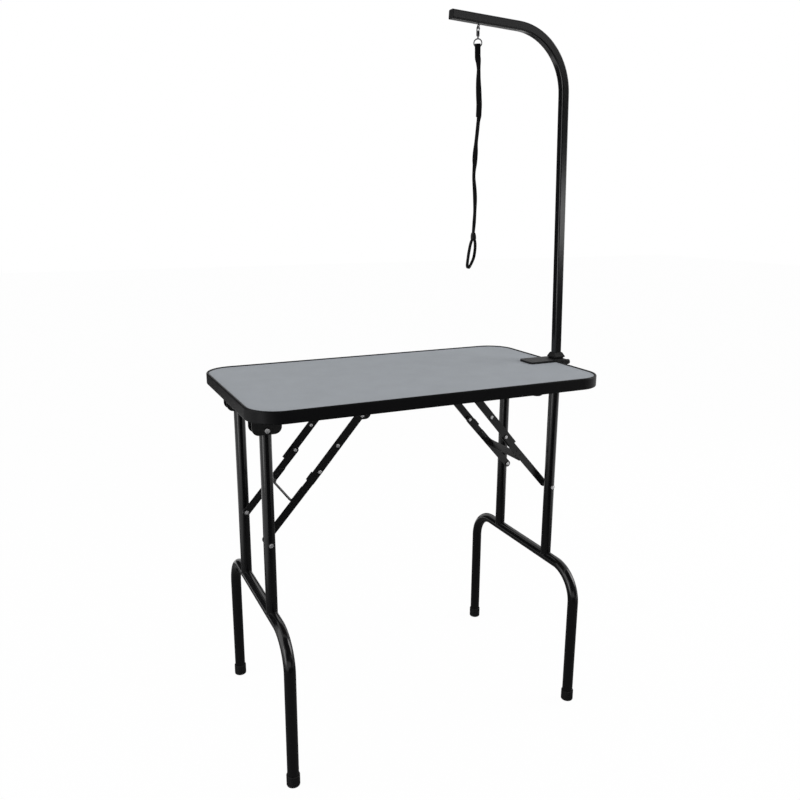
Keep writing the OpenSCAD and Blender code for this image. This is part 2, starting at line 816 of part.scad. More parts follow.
module snap_hook() {
  color(steel) at_hang() difference() {
    union() {
      rotate([90, 0, 0]) rotate_extrude(angle = 180) translate([hook_bend, 0]) circle(hook_wire);
      translate([hook_bend, 0, -hook_tip]) cylinder(r = hook_wire, h = hook_tip);
      translate([-hook_bend, 0, -barrel_low + hook_wire])
        cylinder(r = hook_wire, h = barrel_low - hook_wire);
      translate([0, 0, -barrel_low]) cylinder(r = barrel_r, h = barrel_low - barrel_top);
    }
    translate([bolt_x, 0, -barrel_top - bolt_bore]) cylinder(r = bolt_r + run_gap, h = bolt_bore + cut);
    translate([bolt_x, 0, -barrel_top - bolt_bore]) rotate([0, 0, stud_turn])
      translate([0, -stud_pin_r - gap, 0]) cube([stud_l, 2 * (stud_pin_r + gap), bolt_bore + cut]);
    translate([0, 0, -barrel_low - cut]) cylinder(r = swivel_r + run_gap, h = swivel_bore + cut);
  }
}

module snap_bolt() {
  color(steel) at_hang() translate([bolt_x, 0, -hook_tip - bolt_gap - bolt_l]) {
    cylinder(r = bolt_r, h = bolt_l);
    translate([0, 0, stud_pin_r + stud_drop - bolt_r]) rotate([0, 0, stud_turn]) rotate([0, 90, 0])
      cylinder(r = stud_pin_r, h = stud_l + stud_out);
  }
}

module swivel_eye() {
  neck = ring_drop - ring_r - barrel_low - gap;
  color(steel) at_hang() rotate([0, 0, swivel_turn]) {
    translate([0, 0, -barrel_low - gap]) cylinder(r = swivel_r, h = swivel_bore);
    translate([0, 0, -barrel_low - gap - neck]) cylinder(r = ring_neck, h = neck);
    translate([0, 0, -ring_drop]) rotate([90, 0, 0]) rotate_extrude() translate([ring_r, 0])
      circle(ring_wire);
  }
}

// Tall slot with round ends, standing on the axis
module tall_slot(w, h) {
  translate([-w / 2, w / 2]) square([w, h - w]);
  for (z = [w / 2, h - w / 2]) translate([0, z]) circle(w / 2);
}

// Frame of the leash, at the bottom of the ring and leaning with the strap
module at_leash() {
  translate([hang_x, arm_y, head_top]) rotate([0, -leash_lean, 0]) rotate([0, 0, swivel_turn]) children();
}

// Sewn double part of the strap, with the fold that goes through the swivel's ring
module leash_head() {
  color(webbing) at_leash() rotate([0, 0, 90])
    xz_plate(-strap_w / 2, strap_w / 2) difference() {
      union() {
        translate([0, -strap_t]) tall_slot(fold_w + 2 * strap_t, fold_h + 2 * strap_t);
        translate([-strap_t, -head_l]) square([2 * strap_t, head_l]);
      }
      tall_slot(fold_w, fold_h);
    }
}

// Flat eight-sided section of the strap
function strap_ring(w, t) = [
  [-w / 2, -t / 4], [-w / 2 + t / 4, -t / 2], [w / 2 - t / 4, -t / 2], [w / 2, -t / 4],
  [w / 2, t / 4], [w / 2 - t / 4, t / 2], [-w / 2 + t / 4, t / 2], [-w / 2, t / 4]
];

// Faces of a tube made of n rings with m points each
function tube_faces(n, m) = concat(
  [[for (j = [0:m - 1]) j]],
  [for (i = [0:n - 2], j = [0:m - 1]) [i * m + j, (i + 1) * m + j, (i + 1) * m + (j + 1) % m]],
  [for (i = [0:n - 2], j = [0:m - 1]) [i * m + j, (i + 1) * m + (j + 1) % m, i * m + (j + 1) % m]],
  [[for (j = [m - 1:-1:0]) (n - 1) * m + j]]
);

// Point i of a route, with the end points repeated past the ends
function held(route, i) = route[max(0, min(len(route) - 1, i))];

// Smooth curve through a route's points, at a distance t past point i
function eased(route, i, t) =
  let (a = held(route, i - 1), b = held(route, i), c = held(route, i + 1), d = held(route, i + 2))
  b + t * (c - a) / 2 + t * t * (a - 5 * b / 2 + 2 * c - d / 2) + t * t * t * (3 * (b - c) + d - a) / 2;

// A route with n steps between each two of its points
function fine(route, n) = concat(
  [for (i = [0:len(route) - 2], j = [0:n - 1]) eased(route, i, j / n)],
  [route[len(route) - 1]]
);

// Strap that hangs along the route, each ring level and turned by the route's own turn
module leash_strap() {
  rings = fine(strap_route, strap_steps);
  points = [for (r = rings, q = strap_ring(strap_w, r[2] > -sewn_l ? 2 * strap_t : strap_t))
    [r[0] + q[0] * cos(r[3]) - q[1] * sin(r[3]), r[1] + q[0] * sin(r[3]) + q[1] * cos(r[3]), r[2]]];
  color(webbing) at_leash() translate([0, 0, -head_l])
    polyhedron(points, tube_faces(len(rings), len(points) / len(rings)));
}

// Frame of the slider, turned with the lower end of the strap
module at_slider() {
  at_leash() translate([strap_end[0], strap_end[1], strap_end[2] - head_l])
    rotate([0, 0, strap_end[3]]) children();
}

module leash_slider() {
  color(plastic) at_slider() translate([-slider_w / 2, -slider_t / 2, -slider_h])
    cube([slider_w, slider_t, slider_h]);
}

// Direction along a run of points at point i, straight down and up at its ends
function run_dir(run, i) =
  i == 0 ? [0, -1]
  : i == len(run) - 1 ? [0, 1]
  : (run[i + 1] - run[i - 1]) / norm(run[i + 1] - run[i - 1]);

// Loop that hangs below the slider, its strap standing across the loop's plane
module leash_loop() {
  run = fine(loop_route, loop_steps);
  section = strap_ring(strap_w, strap_t);
  points = [for (i = [0:len(run) - 1], q = section)
    let (p = run[i], d = run_dir(run, i))
    [q[0], p[0] - q[1] * d[1], p[1] + q[1] * d[0]]];
  color(webbing) at_slider() translate([0, 0, -slider_h])
    polyhedron(points, tube_faces(len(run), len(section)));
}

// The assembly

board();
mat();
edge_trim();
leg_bracket(LEFT, FRONT);  // leg_bracket_left_front
leg_bracket(LEFT, REAR);  // leg_bracket_left_rear
leg_bracket(RIGHT, FRONT);  // leg_bracket_right_front
leg_bracket(RIGHT, REAR);  // leg_bracket_right_rear
brace_bracket(LEFT, FRONT);  // brace_bracket_left_front
brace_bracket(LEFT, REAR);  // brace_bracket_left_rear
brace_bracket(RIGHT, FRONT);  // brace_bracket_right_front
brace_bracket(RIGHT, REAR);  // brace_bracket_right_rear
bracket_screws();
leg_pivot_rivets();
brace_pivot_rivets();
u_tube(LEFT);  // left_u_tube
upright(LEFT, FRONT);  // left_front_upright
upright(LEFT, REAR);  // left_rear_upright
foot(LEFT, FRONT);  // left_front_foot
foot(LEFT, REAR);  // left_rear_foot
leg_rivets(LEFT);  // left_leg_rivets
upper_link(LEFT, FRONT);  // left_front_upper_link
upper_link(LEFT, REAR);  // left_rear_upper_link
link_rivet(LEFT, FRONT);  // left_front_link_rivet
link_rivet(LEFT, REAR);  // left_rear_link_rivet
lower_link(LEFT, FRONT);  // left_front_lower_link
lower_link(LEFT, REAR);  // left_rear_lower_link
spreader(LEFT);  // left_spreader
brace_rivets(LEFT);  // left_brace_rivets
u_tube(RIGHT);  // right_u_tube
upright(RIGHT, FRONT);  // right_front_upright
upright(RIGHT, REAR);  // right_rear_upright
foot(RIGHT, FRONT);  // right_front_foot
foot(RIGHT, REAR);  // right_rear_foot
leg_rivets(RIGHT);  // right_leg_rivets
upper_link(RIGHT, FRONT);  // right_front_upper_link
upper_link(RIGHT, REAR);  // right_rear_upper_link
link_rivet(RIGHT, FRONT);  // right_front_link_rivet
link_rivet(RIGHT, REAR);  // right_rear_link_rivet
lower_link(RIGHT, FRONT);  // right_front_lower_link
lower_link(RIGHT, REAR);  // right_rear_lower_link
spreader(RIGHT);  // right_spreader
brace_rivets(RIGHT);  // right_brace_rivets
clamp_plate();
clamp_jaw();
arm_socket();
socket_bush();
clamp_screw();
clamp_pad();
arm_knob();
arm();
arm_tip_cap();
arm_foot_cap();
arm_eye();
snap_hook();
snap_bolt();
swivel_eye();
leash_head();
leash_strap();
leash_slider();
leash_loop();
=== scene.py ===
"""Looks of a folding grooming table with a clamped arm and a hanging leash.

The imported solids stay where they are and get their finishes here. The webbing of the leash, the weld beads,
the foot caps, the knobs and the clamp's threaded spindle are surfaces of their own, worked out on grids.
All lengths are metres in the table's frame unless a name ends in _mm.
"""

import json
import logging
import math
from abc import ABC, abstractmethod
from collections.abc import Callable
from dataclasses import dataclass, field
from enum import Enum

import bpy
import numpy as np
from mathutils import Matrix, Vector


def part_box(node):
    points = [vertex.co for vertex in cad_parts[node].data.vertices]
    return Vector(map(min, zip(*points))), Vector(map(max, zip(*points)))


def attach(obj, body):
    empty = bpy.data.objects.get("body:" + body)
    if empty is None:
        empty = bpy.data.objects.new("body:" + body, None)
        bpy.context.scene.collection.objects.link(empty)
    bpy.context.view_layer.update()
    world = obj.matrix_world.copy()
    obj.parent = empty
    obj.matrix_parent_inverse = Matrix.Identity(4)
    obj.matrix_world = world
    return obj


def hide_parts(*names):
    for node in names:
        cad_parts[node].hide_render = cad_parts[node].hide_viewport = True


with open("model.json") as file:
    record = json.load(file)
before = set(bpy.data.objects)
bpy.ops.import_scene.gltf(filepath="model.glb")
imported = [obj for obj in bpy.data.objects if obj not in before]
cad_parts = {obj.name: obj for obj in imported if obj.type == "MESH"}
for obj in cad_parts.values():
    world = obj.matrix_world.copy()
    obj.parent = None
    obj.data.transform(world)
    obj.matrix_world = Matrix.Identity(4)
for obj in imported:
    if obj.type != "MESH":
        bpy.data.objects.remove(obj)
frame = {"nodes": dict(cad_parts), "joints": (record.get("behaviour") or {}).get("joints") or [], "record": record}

log = logging.getLogger("grooming_table")
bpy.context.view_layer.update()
MM = 0.001
TURN = 2.0 * math.pi
X_AXIS, Z_AXIS = np.array([1.0, 0.0, 0.0]), np.array([0.0, 0.0, 1.0])
# Radius of the small ring that closes a turned piece on its axis
POLE_MM = 0.05
# Map of the distances round and along each new piece
UV_NAME = "along"

Span = tuple[float, float]
Point = tuple[float, float, float]
Colour = tuple[float, float, float]
Corners = tuple[Point, Point, Point, Point]
Array = np.ndarray
Piece = bpy.types.Object
Material = bpy.types.Material
Tree = bpy.types.NodeTree
Node = bpy.types.Node
Socket = bpy.types.NodeSocket
Value = Socket | float | tuple[float, ...]
Run = tuple[Array, Array, Array]


class Side(Enum):
    """Ends of the table, as the nodes spell them."""

    LEFT = "left"
    RIGHT = "right"


class Row(Enum):
    """Rows of legs, as the nodes spell them."""

    FRONT = "front"
    REAR = "rear"


class Slot(Enum):
    """Material slots of the record that new pieces take their finish from."""

    PAINT = "black_paint"
    RIVET = "rivet_steel"
    PLASTIC = "black_plastic"
    WEBBING = "webbing"
    FOOT = "foot_rubber"


# Places read from the frame


def joint_row(name: str) -> dict:
    """The frame's row of a joint, with its place in pos_m and its direction in axis."""
    return next(row for row in frame["joints"] if row["name"] == name)


def upright_round(name: str) -> tuple[Array, float, float]:
    """A round upright node's lowest point on its axis, its radius along Y and its height, in mm."""
    low, high = (np.array(corner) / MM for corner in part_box(name))
    return low + (high - low) * [0.5, 0.5, 0.0], (high - low)[1] / 2, (high - low)[2]


# Surfaces on grids


def angles(count: int) -> Array:
    """Equal steps of one full turn, in radians."""
    return np.arange(count) / count * TURN


def circle(count: int) -> Array:
    """Points of a circle of radius 1: cosine and sine of equal steps of one turn."""
    return np.stack([np.cos(angles(count)), np.sin(angles(count))], axis=-1)


def unit(rows: Array) -> Array:
    """Rows divided by their own lengths."""
    return rows / np.linalg.norm(rows, axis=1)[:, None]


def boxy(values: Array, power: float) -> Array:
    """Values from -1 to 1 pushed outwards as in a superellipse: their sign times their size to a power."""
    return np.sign(values) * np.abs(values) ** power


def spun(first: Array, second: Array, angle: float) -> tuple[Array, Array]:
    """Two coordinates turned by an angle from the first axis to the second: its cosine and sine mix them."""
    c, s = math.cos(angle), math.sin(angle)
    return c * first - s * second, s * first + c * second


def smooth_curve(points: Array, steps: int) -> Array:
    """Catmull-Rom curve through the points: on each span a cubic whose ends take half the chord past them.

    Args:
        points: Route points, one per row, any number of columns.
        steps: Samples on each span.

    Returns:
        Samples along the whole route, the last point included.
    """
    held = np.vstack([points[:1], points, points[-1:]])
    a, b, c, d = (k[:, None, :] for k in (held[:-3], held[1:-2], held[2:-1], held[3:]))
    t = (np.arange(steps) / steps)[None, :, None]
    square = a - 2.5 * b + 2 * c - d / 2
    cube = (3 * (b - c) + d - a) / 2
    cubic = b + t * (c - a) / 2 + t**2 * square + t**3 * cube
    return np.vstack([cubic.reshape(-1, points.shape[1]), points[-1:]])


def lengths_along(path: Array) -> Array:
    """Running length of a path: the sum of its chords up to each point."""
    return np.concatenate([[0.0], np.cumsum(np.linalg.norm(np.diff(path, axis=0), axis=1))])


def carried(path: Array, across: Array, up: Array, profile: Array) -> Array:
    """Grid of a profile carried along a path: path point plus profile x times across plus y times up.

    Args:
        path: Points of the path, n rows.
        across: Direction of the profile's x at each point.
        up: Direction of the profile's y at each point.
        profile: Points of the profile, m rows of two, or n by m by 2 where it changes along the path.

    Returns:
        Grid of n by m points.
    """
    shape = profile if profile.ndim == 3 else profile[None]
    return path[:, None] + shape[..., :1] * across[:, None] + shape[..., 1:] * up[:, None]


def round_z(radius: Array, height: Array) -> Array:
    """Grid of rings about Z: n by m radii times the cosine and sine of m angles, at n heights."""
    rise = np.broadcast_to(height[:, None, None], (*radius.shape, 1))
    return np.concatenate([radius[..., None] * circle(radius.shape[1]), rise], axis=-1)


def rounded_bar(width: float, thick: float, count: int = 32, powers: Span = (0.22, 0.55)) -> Array:
    """Profile of a flat strap: a superellipse, nearly square along its width and round across it."""
    x, y = circle(count).T
    return np.stack([width / 2 * boxy(x, powers[0]), thick / 2 * boxy(y, powers[1])], axis=-1)


def ring_quads(n: int, m: int, closed: bool = False) -> Array:
    """Faces between neighbouring rings of a grid: each point, the next one round and both on the next ring.

    Args:
        n: Number of rings.
        m: Points of each ring.
        closed: Whether the last ring joins the first.

    Returns:
        Corners of the faces, four numbers each.
    """
    i = np.arange(n if closed else n - 1)[:, None]
    j = np.arange(m)[None, :]
    nxt_i, nxt_j = (i + 1) % n, (j + 1) % m
    return np.stack([i * m + j, i * m + nxt_j, nxt_i * m + nxt_j, nxt_i * m + j], axis=-1).reshape(-1, 4)


def face_outwards(mesh: bpy.types.Mesh) -> None:
    """Turns a closed mesh the right way out: the sum of its faces' volumes to the origin is made positive.

    Args:
        mesh: The mesh to turn.
    """
    mesh.calc_loop_triangles()
    points = np.empty((len(mesh.vertices), 3))
    mesh.vertices.foreach_get("co", points.ravel())
    corners = np.empty((len(mesh.loop_triangles), 3), dtype=np.int64)
    mesh.loop_triangles.foreach_get("vertices", corners.ravel())
    a, b, c = points[corners.T]
    if np.sum(a * np.cross(b, c)) < 0:
        mesh.flip_normals()


def new_piece(name: str, points: Array, faces: list, smooth: int, uv: Array) -> Piece:
    """New object of a closed mesh, at the origin.

    Args:
        name: Name of the object.
        points: Corners of the mesh in a grid of any shape.
        faces: Corners of each face, by number.
        smooth: How many of the first faces are shaded smooth.
        uv: Coordinates of the first faces' corners. The other corners get zeros.

    Returns:
        The object.
    """
    mesh = bpy.data.meshes.new(name)
    mesh.from_pydata(points.reshape(-1, 3).tolist(), [], faces)
    mesh.polygons.foreach_set("use_smooth", np.arange(len(faces)) < smooth)
    coords = np.zeros((len(mesh.loops), 2), dtype=np.float32)
    coords[: len(uv)] = uv
    mesh.uv_layers.new(name=UV_NAME).data.foreach_set("uv", coords.ravel())
    mesh.validate()
    mesh.update()
    face_outwards(mesh)
    piece = bpy.data.objects.new(name, mesh)
    bpy.context.scene.collection.objects.link(piece)
    return piece


def surface(name: str, grid: Array, uv: Array | None = None, closed: bool = False) -> Piece:
    """Piece of a grid whose columns run round it, with its two ends capped or joined.

    Args:
        name: Name of the new object.
        grid: n rings of m points.
        uv: Optional n by m+1 by 2 coordinates, the seam's column given twice.
        closed: Whether the last ring joins the first, so that no cap is needed.

    Returns:
        The new object, at the origin.
    """
    n, m = grid.shape[:2]
    quads = ring_quads(n, m, closed)
    caps = [] if closed else [list(range(m))[::-1], list(range((n - 1) * m, n * m))]
    if uv is None:
        uv = np.zeros((1, 1, 2))
    corners = np.stack([uv[:-1, :-1], uv[:-1, 1:], uv[1:, 1:], uv[1:, :-1]], axis=2).reshape(-1, 2)
    return new_piece(name, grid, quads.tolist() + caps, len(quads), corners)


def joined(name: str, grids: Array) -> Piece:
    """One piece of many equal capped grids: each has the first one's faces, moved on by its point count.

    Args:
        name: Name of the new object.
        grids: k grids of n rings of m points.

    Returns:
        The new object, at the origin.
    """
    k, n, m = grids.shape[:3]
    start = np.arange(k)[:, None, None] * n * m
    quads = ring_quads(n, m)[None] + start
    caps = np.stack([np.arange(m)[::-1], np.arange((n - 1) * m, n * m)])[None] + start
    faces = quads.reshape(-1, 4).tolist() + caps.reshape(-1, m).tolist()
    return new_piece(name, grids, faces, 0, np.zeros((0, 2)))


def strap_uv(path: Array, profile: Array) -> Array:
    """Coordinates on a strap in metres: distance round the closed profile and distance along the path."""
    around = lengths_along(np.vstack([profile, profile[:1]]))
    return np.stack(np.broadcast_arrays(around[None, :], lengths_along(path)[:, None]), axis=-1)


# Shader pieces


# The normal's Z where dust starts to lie and where it lies most
DUST_FACING = (0.3, 1.0)
# Size of the normal's Y on a rivet crown's rim and on its middle, where its painted highlight starts and where it
# is full
CROWN_FACING = (0.93, 0.985)
# Nearer than this to the flush plane a face counts as flush
CROWN_FLUSH_GAP = 0.0003
# Noise that tells worn threads from dark ones
FUZZ_PER_M = 260.0


class Nodes:
    """Short hand for adding and linking the nodes of a tree."""

    # Numbers of the Mix node's two colour inputs and of its colour output
    mix_colours = slice(6, 8)
    mix_result = 2

    def __init__(self, tree: Tree) -> None:
        """Starts with a tree that holds no nodes."""
        self.tree = tree
        tree.nodes.clear()

    def add(self, kind: str, **settings: object) -> Node:
        """Adds a node and sets its plain properties.

        Args:
            kind: Type of the node without its ShaderNode prefix, or the whole name of a group node.
            **settings: Properties of the node, by name.

        Returns:
            The node.
        """
        node = self.tree.nodes.new(kind if kind.startswith("NodeGroup") else "ShaderNode" + kind)
        for key, value in settings.items():
            setattr(node, key, value)
        return node

    def fill(self, socket: Socket, value: Value) -> None:
        """Fills one input.

        Args:
            socket: The input.
            value: A number, a colour or another node's output.
        """
        if isinstance(value, Socket):
            self.tree.links.new(value, socket)
        else:
            socket.default_value = value

    def put(self, node: Node, **values: Value) -> Node:
        """Fills a node's inputs by name.

        Args:
            node: The node to fill.
            **values: A value for each input, underscores standing for spaces.

        Returns:
            The same node.
        """
        for key, value in values.items():
            self.fill(node.inputs[key.replace("_", " ")], value)
        return node

    def calc(self, operation: str, first: Value, second: Value = 0.0) -> Socket:
        """Works out one sum.

        Args:
            operation: Kind of the sum, as the Math node names it.
            first: First number or output.
            second: Second number or output, where the sum takes two.

        Returns:
            The result's output.
        """
        node = self.add("Math", operation=operation)
        self.fill(node.inputs[0], first)
        self.fill(node.inputs[1], second)
        return node.outputs[0]

    def span(self, value: Socket, low: float, high: float) -> Socket:
        """Result between low and high for a value from 0 to 1."""
        return self.put(self.add("MapRange"), Value=value, To_Min=low, To_Max=high).outputs["Result"]

    def share(self, value: Socket, low: float, high: float) -> Socket:
        """Result from 0 to 1 for a value between low and high."""
        return self.put(self.add("MapRange"), Value=value, From_Min=low, From_Max=high).outputs["Result"]

    def tone(self, share: Socket, dark: Colour | Socket, light: Colour | Socket) -> Socket:
        """Colour between two colours.

        Args:
            share: Share of the second colour, from 0 to 1.
            dark: Colour at 0, or an output that gives it.
            light: Colour at 1, or an output that gives it.

        Returns:
            The colour's output.
        """
        mix = self.add("Mix", data_type="RGBA")
        self.fill(mix.inputs["Factor"], share)
        for socket, value in zip(mix.inputs[self.mix_colours], (dark, light)):
            self.fill(socket, (*value, 1.0) if isinstance(value, tuple) else value)
        return mix.outputs[self.mix_result]


def shader_group(name: str, inputs: dict[str, float], outputs: list[str]) -> tuple[Nodes, Node, Node]:
    """New shader group with number inputs and number outputs.

    Args:
        name: Name of the group.
        inputs: Names and default values of the inputs.
        outputs: Names of the outputs.

    Returns:
        The group's node helper, its input node and its output node.
    """
    tree = bpy.data.node_groups.new(name, "ShaderNodeTree")
    for key, value in inputs.items():
        socket = tree.interface.new_socket(name=key, in_out="INPUT", socket_type="NodeSocketFloat")
        socket.default_value = value
    for key in outputs:
        tree.interface.new_socket(name=key, in_out="OUTPUT", socket_type="NodeSocketFloat")
    n = Nodes(tree)
    return n, n.add("NodeGroupInput"), n.add("NodeGroupOutput")


def grain_group() -> Tree:
    """Grain of a surface: fine noise for relief and slow noise for cloudy gloss, on Object coordinates.

    Returns:
        The group's tree.
    """
    n, start, end = shader_group("surface_grain", {"Fine": 900.0, "Slow": 9.0}, ["Relief", "Cloud"])
    place = n.add("TexCoord").outputs["Object"]
    fine = n.put(n.add("TexNoise"), Vector=place, Scale=start.outputs["Fine"], Detail=3.0)
    slow = n.put(n.add("TexNoise"), Vector=place, Scale=start.outputs["Slow"], Detail=4.0)
    n.put(end, Relief=fine.outputs["Fac"], Cloud=slow.outputs["Fac"])
    return n.tree


def dust_group() -> Tree:
    """Dust that settles on faces that look up: the normal's Z past a limit, broken up by noise.

    Returns:
        The group's tree.
    """
    n, start, end = shader_group("settled_dust", {"Amount": 0.3, "Scale": 60.0}, ["Mask"])
    place = n.add("TexCoord")
    facing = n.put(n.add("SeparateXYZ"), Vector=place.outputs["Normal"])
    noise = n.add("TexNoise")
    n.put(noise, Vector=place.outputs["Object"], Scale=start.outputs["Scale"], Detail=5.0)
    settled = n.calc("MULTIPLY", n.share(facing.outputs["Z"], *DUST_FACING), noise.outputs["Fac"])
    n.put(end, Mask=n.calc("MULTIPLY", settled, start.outputs["Amount"]))
    return n.tree


def weave_group() -> Tree:
    """Plain weave on a strap's own coordinates: one thread's wave across times the other's along.

    Returns:
        The group's tree.
    """
    n, start, end = shader_group("webbing_weave", {"Across": 900.0, "Along": 700.0}, ["Height", "Thread"])
    place = n.put(n.add("SeparateXYZ"), Vector=n.add("UVMap", uv_map=UV_NAME).outputs["UV"])

    def wave(coordinate: str, pitch: str) -> Socket:
        """Sine of half a turn times a coordinate times its threads per metre."""
        threads = n.calc("MULTIPLY", place.outputs[coordinate], start.outputs[pitch])
        return n.calc("SINE", n.calc("MULTIPLY", threads, math.pi))

    cross = n.calc("MULTIPLY", wave("X", "Across"), wave("Y", "Along"))
    fuzz = n.add("TexNoise")
    n.put(fuzz, Vector=n.add("TexCoord").outputs["Object"], Scale=FUZZ_PER_M, Detail=4.0)
    n.put(end, Height=n.share(cross, -1.0, 1.0), Thread=fuzz.outputs["Fac"])
    return n.tree


def crown_highlight_group() -> Tree:
    """Painted highlight of bright steel on a painted rivet's crown: 1 where its face looks straight along Y, 0 on
    its rim.

    The spreader's small rivets stay painted: they lie nearer to the middle plane than Inside, or end flush
    at Flush from it.

    Returns:
        The group's tree.
    """
    n, start, end = shader_group("rivet_crown_highlight", {"Inside": 0.07875, "Flush": 0.0838}, ["Bare"])
    place = n.add("TexCoord")

    def size_of_y(vector: Socket) -> Socket:
        """Size of a vector's Y without its sign."""
        return n.calc("ABSOLUTE", n.put(n.add("SeparateXYZ"), Vector=vector).outputs["Y"])

    away = size_of_y(place.outputs["Object"])
    off_flush = n.calc("ABSOLUTE", n.calc("SUBTRACT", away, start.outputs["Flush"]))
    large = n.calc("GREATER_THAN", off_flush, CROWN_FLUSH_GAP)
    outside = n.calc("GREATER_THAN", away, start.outputs["Inside"])
    # The crown's facing gives the mask of the painted highlight
    crown = n.share(size_of_y(place.outputs["Normal"]), *CROWN_FACING)
    n.put(end, Bare=n.calc("MULTIPLY", n.calc("MULTIPLY", crown, outside), large))
    return n.tree


class Groups:
    """The shader groups of the finishes, each built once."""

    grain: Tree
    dust: Tree
    weave: Tree
    crown: Tree

    @classmethod
    def build(cls) -> None:
        """Builds the four groups."""
        cls.grain = grain_group()
        cls.dust = dust_group()
        cls.weave = weave_group()
        cls.crown = crown_highlight_group()


@dataclass(frozen=True)
class Drawn:
    """What a finish draws over its surface: its colour, the cloud of its gloss, its height and its metal."""

    colour: Socket
    cloud: Socket
    height: Socket
    metal: Value = 0.0


@dataclass(frozen=True)
class Finish(ABC):
    """Finish of a surface: two tones, a range of gloss and a relief, with a pattern of its own."""

    name: str
    dark: Colour
    light: Colour
    gloss: Span
    relief_m: float
    strength: float = 0.4
    specular: float = 0.5
    sheen: float = 0.0

    @abstractmethod
    def draw(self, n: Nodes) -> Drawn:
        """Adds the nodes of the finish's own pattern.

        Args:
            n: Node helper of the finish's material.

        Returns:
            The outputs and numbers that the shader takes.
        """

    def material(self) -> Material:
        """Material whose shader takes its pattern from the finish's nodes and the rest as plain numbers.

        Returns:
            The material.
        """
        material = bpy.data.materials.new(self.name)
        material.use_nodes = True
        n = Nodes(material.node_tree)
        shader = n.add("BsdfPrincipled")
        n.put(n.add("OutputMaterial"), Surface=shader.outputs["BSDF"])
        drawn = self.draw(n)
        bump = n.add("Bump")
        n.put(bump, Height=drawn.height, Strength=self.strength, Distance=self.relief_m)
        n.put(
            shader,
            Base_Color=drawn.colour,
            Roughness=n.span(drawn.cloud, *self.gloss),
            Metallic=drawn.metal,
            Specular_IOR_Level=self.specular,
            Sheen_Weight=self.sheen,
            Normal=bump.outputs["Normal"],
        )
        return material


@dataclass(frozen=True)
class GrainFinish(Finish):
    """Moulded, painted or plated surface, drawn from the shared grain and dust."""

    fine: float = 900.0
    slow: float = 9.0
    dust: float = 0.0
    dust_tone: Colour = (0.16, 0.16, 0.165)
    metallic: float = 0.0

    def draw(self, n: Nodes) -> Drawn:
        """Tone and gloss follow the slow cloud, and the relief follows the fine noise.

        Args:
            n: Node helper of the finish's material.

        Returns:
            The outputs and numbers that the shader takes.
        """
        grain = n.put(n.add("Group", node_tree=Groups.grain), Fine=self.fine, Slow=self.slow)
        colour = n.tone(grain.outputs["Cloud"], self.dark, self.light)
        if self.dust:
            settled = n.put(n.add("Group", node_tree=Groups.dust), Amount=self.dust)
            colour = n.tone(settled.outputs["Mask"], colour, self.dust_tone)
        return Drawn(colour, grain.outputs["Cloud"], grain.outputs["Relief"], self.metallic)


@dataclass(frozen=True)
class RivetFinish(Finish):
    """Rivets painted with the frame, with a painted highlight of bright steel on each crown."""

    paint: Colour = (0.006, 0.006, 0.0066)
    fine: float = 1800.0
    slow: float = 120.0

    def draw(self, n: Nodes) -> Drawn:
        """Paint on the rim goes over to clouded bright steel on the crown, a painted highlight that is made metal
        there too.

        Args:
            n: Node helper of the finish's material.

        Returns:
            The outputs and numbers that the shader takes.
        """
        grain = n.put(n.add("Group", node_tree=Groups.grain), Fine=self.fine, Slow=self.slow)
        # Mask of the painted highlight on the crown, which also makes it metal
        painted_highlight = n.add("Group", node_tree=Groups.crown).outputs["Bare"]
        steel = n.tone(grain.outputs["Cloud"], self.dark, self.light)
        return Drawn(n.tone(painted_highlight, self.paint, steel), grain.outputs["Cloud"], grain.outputs["Relief"], painted_highlight)


@dataclass(frozen=True)
class PebbleFinish(Finish):
    """Pale rubber of the mat, pressed with a fine pebble."""

    pebbles_per_m: float = 560.0
    fine: float = 420.0
    slow: float = 16.0
    speckle: float = 0.35

    def draw(self, n: Nodes) -> Drawn:
        """Cells raise the pebble, and specks and slow clouds of wear change the tone.

        Args:
            n: Node helper of the finish's material.

        Returns:
            The outputs and numbers that the shader takes.
        """
        place = n.add("TexCoord").outputs["Object"]
        cells = n.put(n.add("TexVoronoi"), Vector=place, Scale=self.pebbles_per_m)
        grain = n.put(n.add("Group", node_tree=Groups.grain), Fine=self.fine, Slow=self.slow)
        speck = n.span(grain.outputs["Relief"], -self.speckle, self.speckle)
        cloud = grain.outputs["Cloud"]
        colour = n.tone(n.calc("ADD", cloud, speck), self.dark, self.light)
        return Drawn(colour, cloud, cells.outputs["Distance"])


@dataclass(frozen=True)
class BoardFinish(Finish):
    """Dark sealed plywood of the board's underside, with its grain along the top."""

    stretch: Point = (1.2, 34.0, 34.0)
    bands: float = 3.0
    waver: float = 0.6

    def draw(self, n: Nodes) -> Drawn:
        """Bands of noise are drawn out along X for the wood's grain.

        Args:
            n: Node helper of the finish's material.

        Returns:
            The outputs and numbers that the shader takes.
        """
        place = n.put(n.add("Mapping"), Vector=n.add("TexCoord").outputs["Object"], Scale=self.stretch)
        noise = n.add("TexNoise")
        n.put(noise, Vector=place.outputs["Vector"], Scale=self.bands, Detail=7.0, Distortion=self.waver)
        grain = noise.outputs["Fac"]
        return Drawn(n.tone(grain, self.dark, self.light), grain, grain)


@dataclass(frozen=True)
class WovenFinish(Finish):
    """Black nylon webbing of the leash, with its threads in relief."""

    across_per_m: float = 1250.0
    along_per_m: float = 900.0

    def draw(self, n: Nodes) -> Drawn:
        """The weave follows the strap, with lighter worn threads on its high points.

        Args:
            n: Node helper of the finish's material.

        Returns:
            The outputs and numbers that the shader takes.
        """
        weave = n.add("Group", node_tree=Groups.weave)
        height, thread = weave.outputs["Height"], weave.outputs["Thread"]
        n.put(weave, Across=self.across_per_m, Along=self.along_per_m)
        worn = n.calc("MULTIPLY", height, thread)
        return Drawn(n.tone(worn, self.dark, self.light), thread, height)


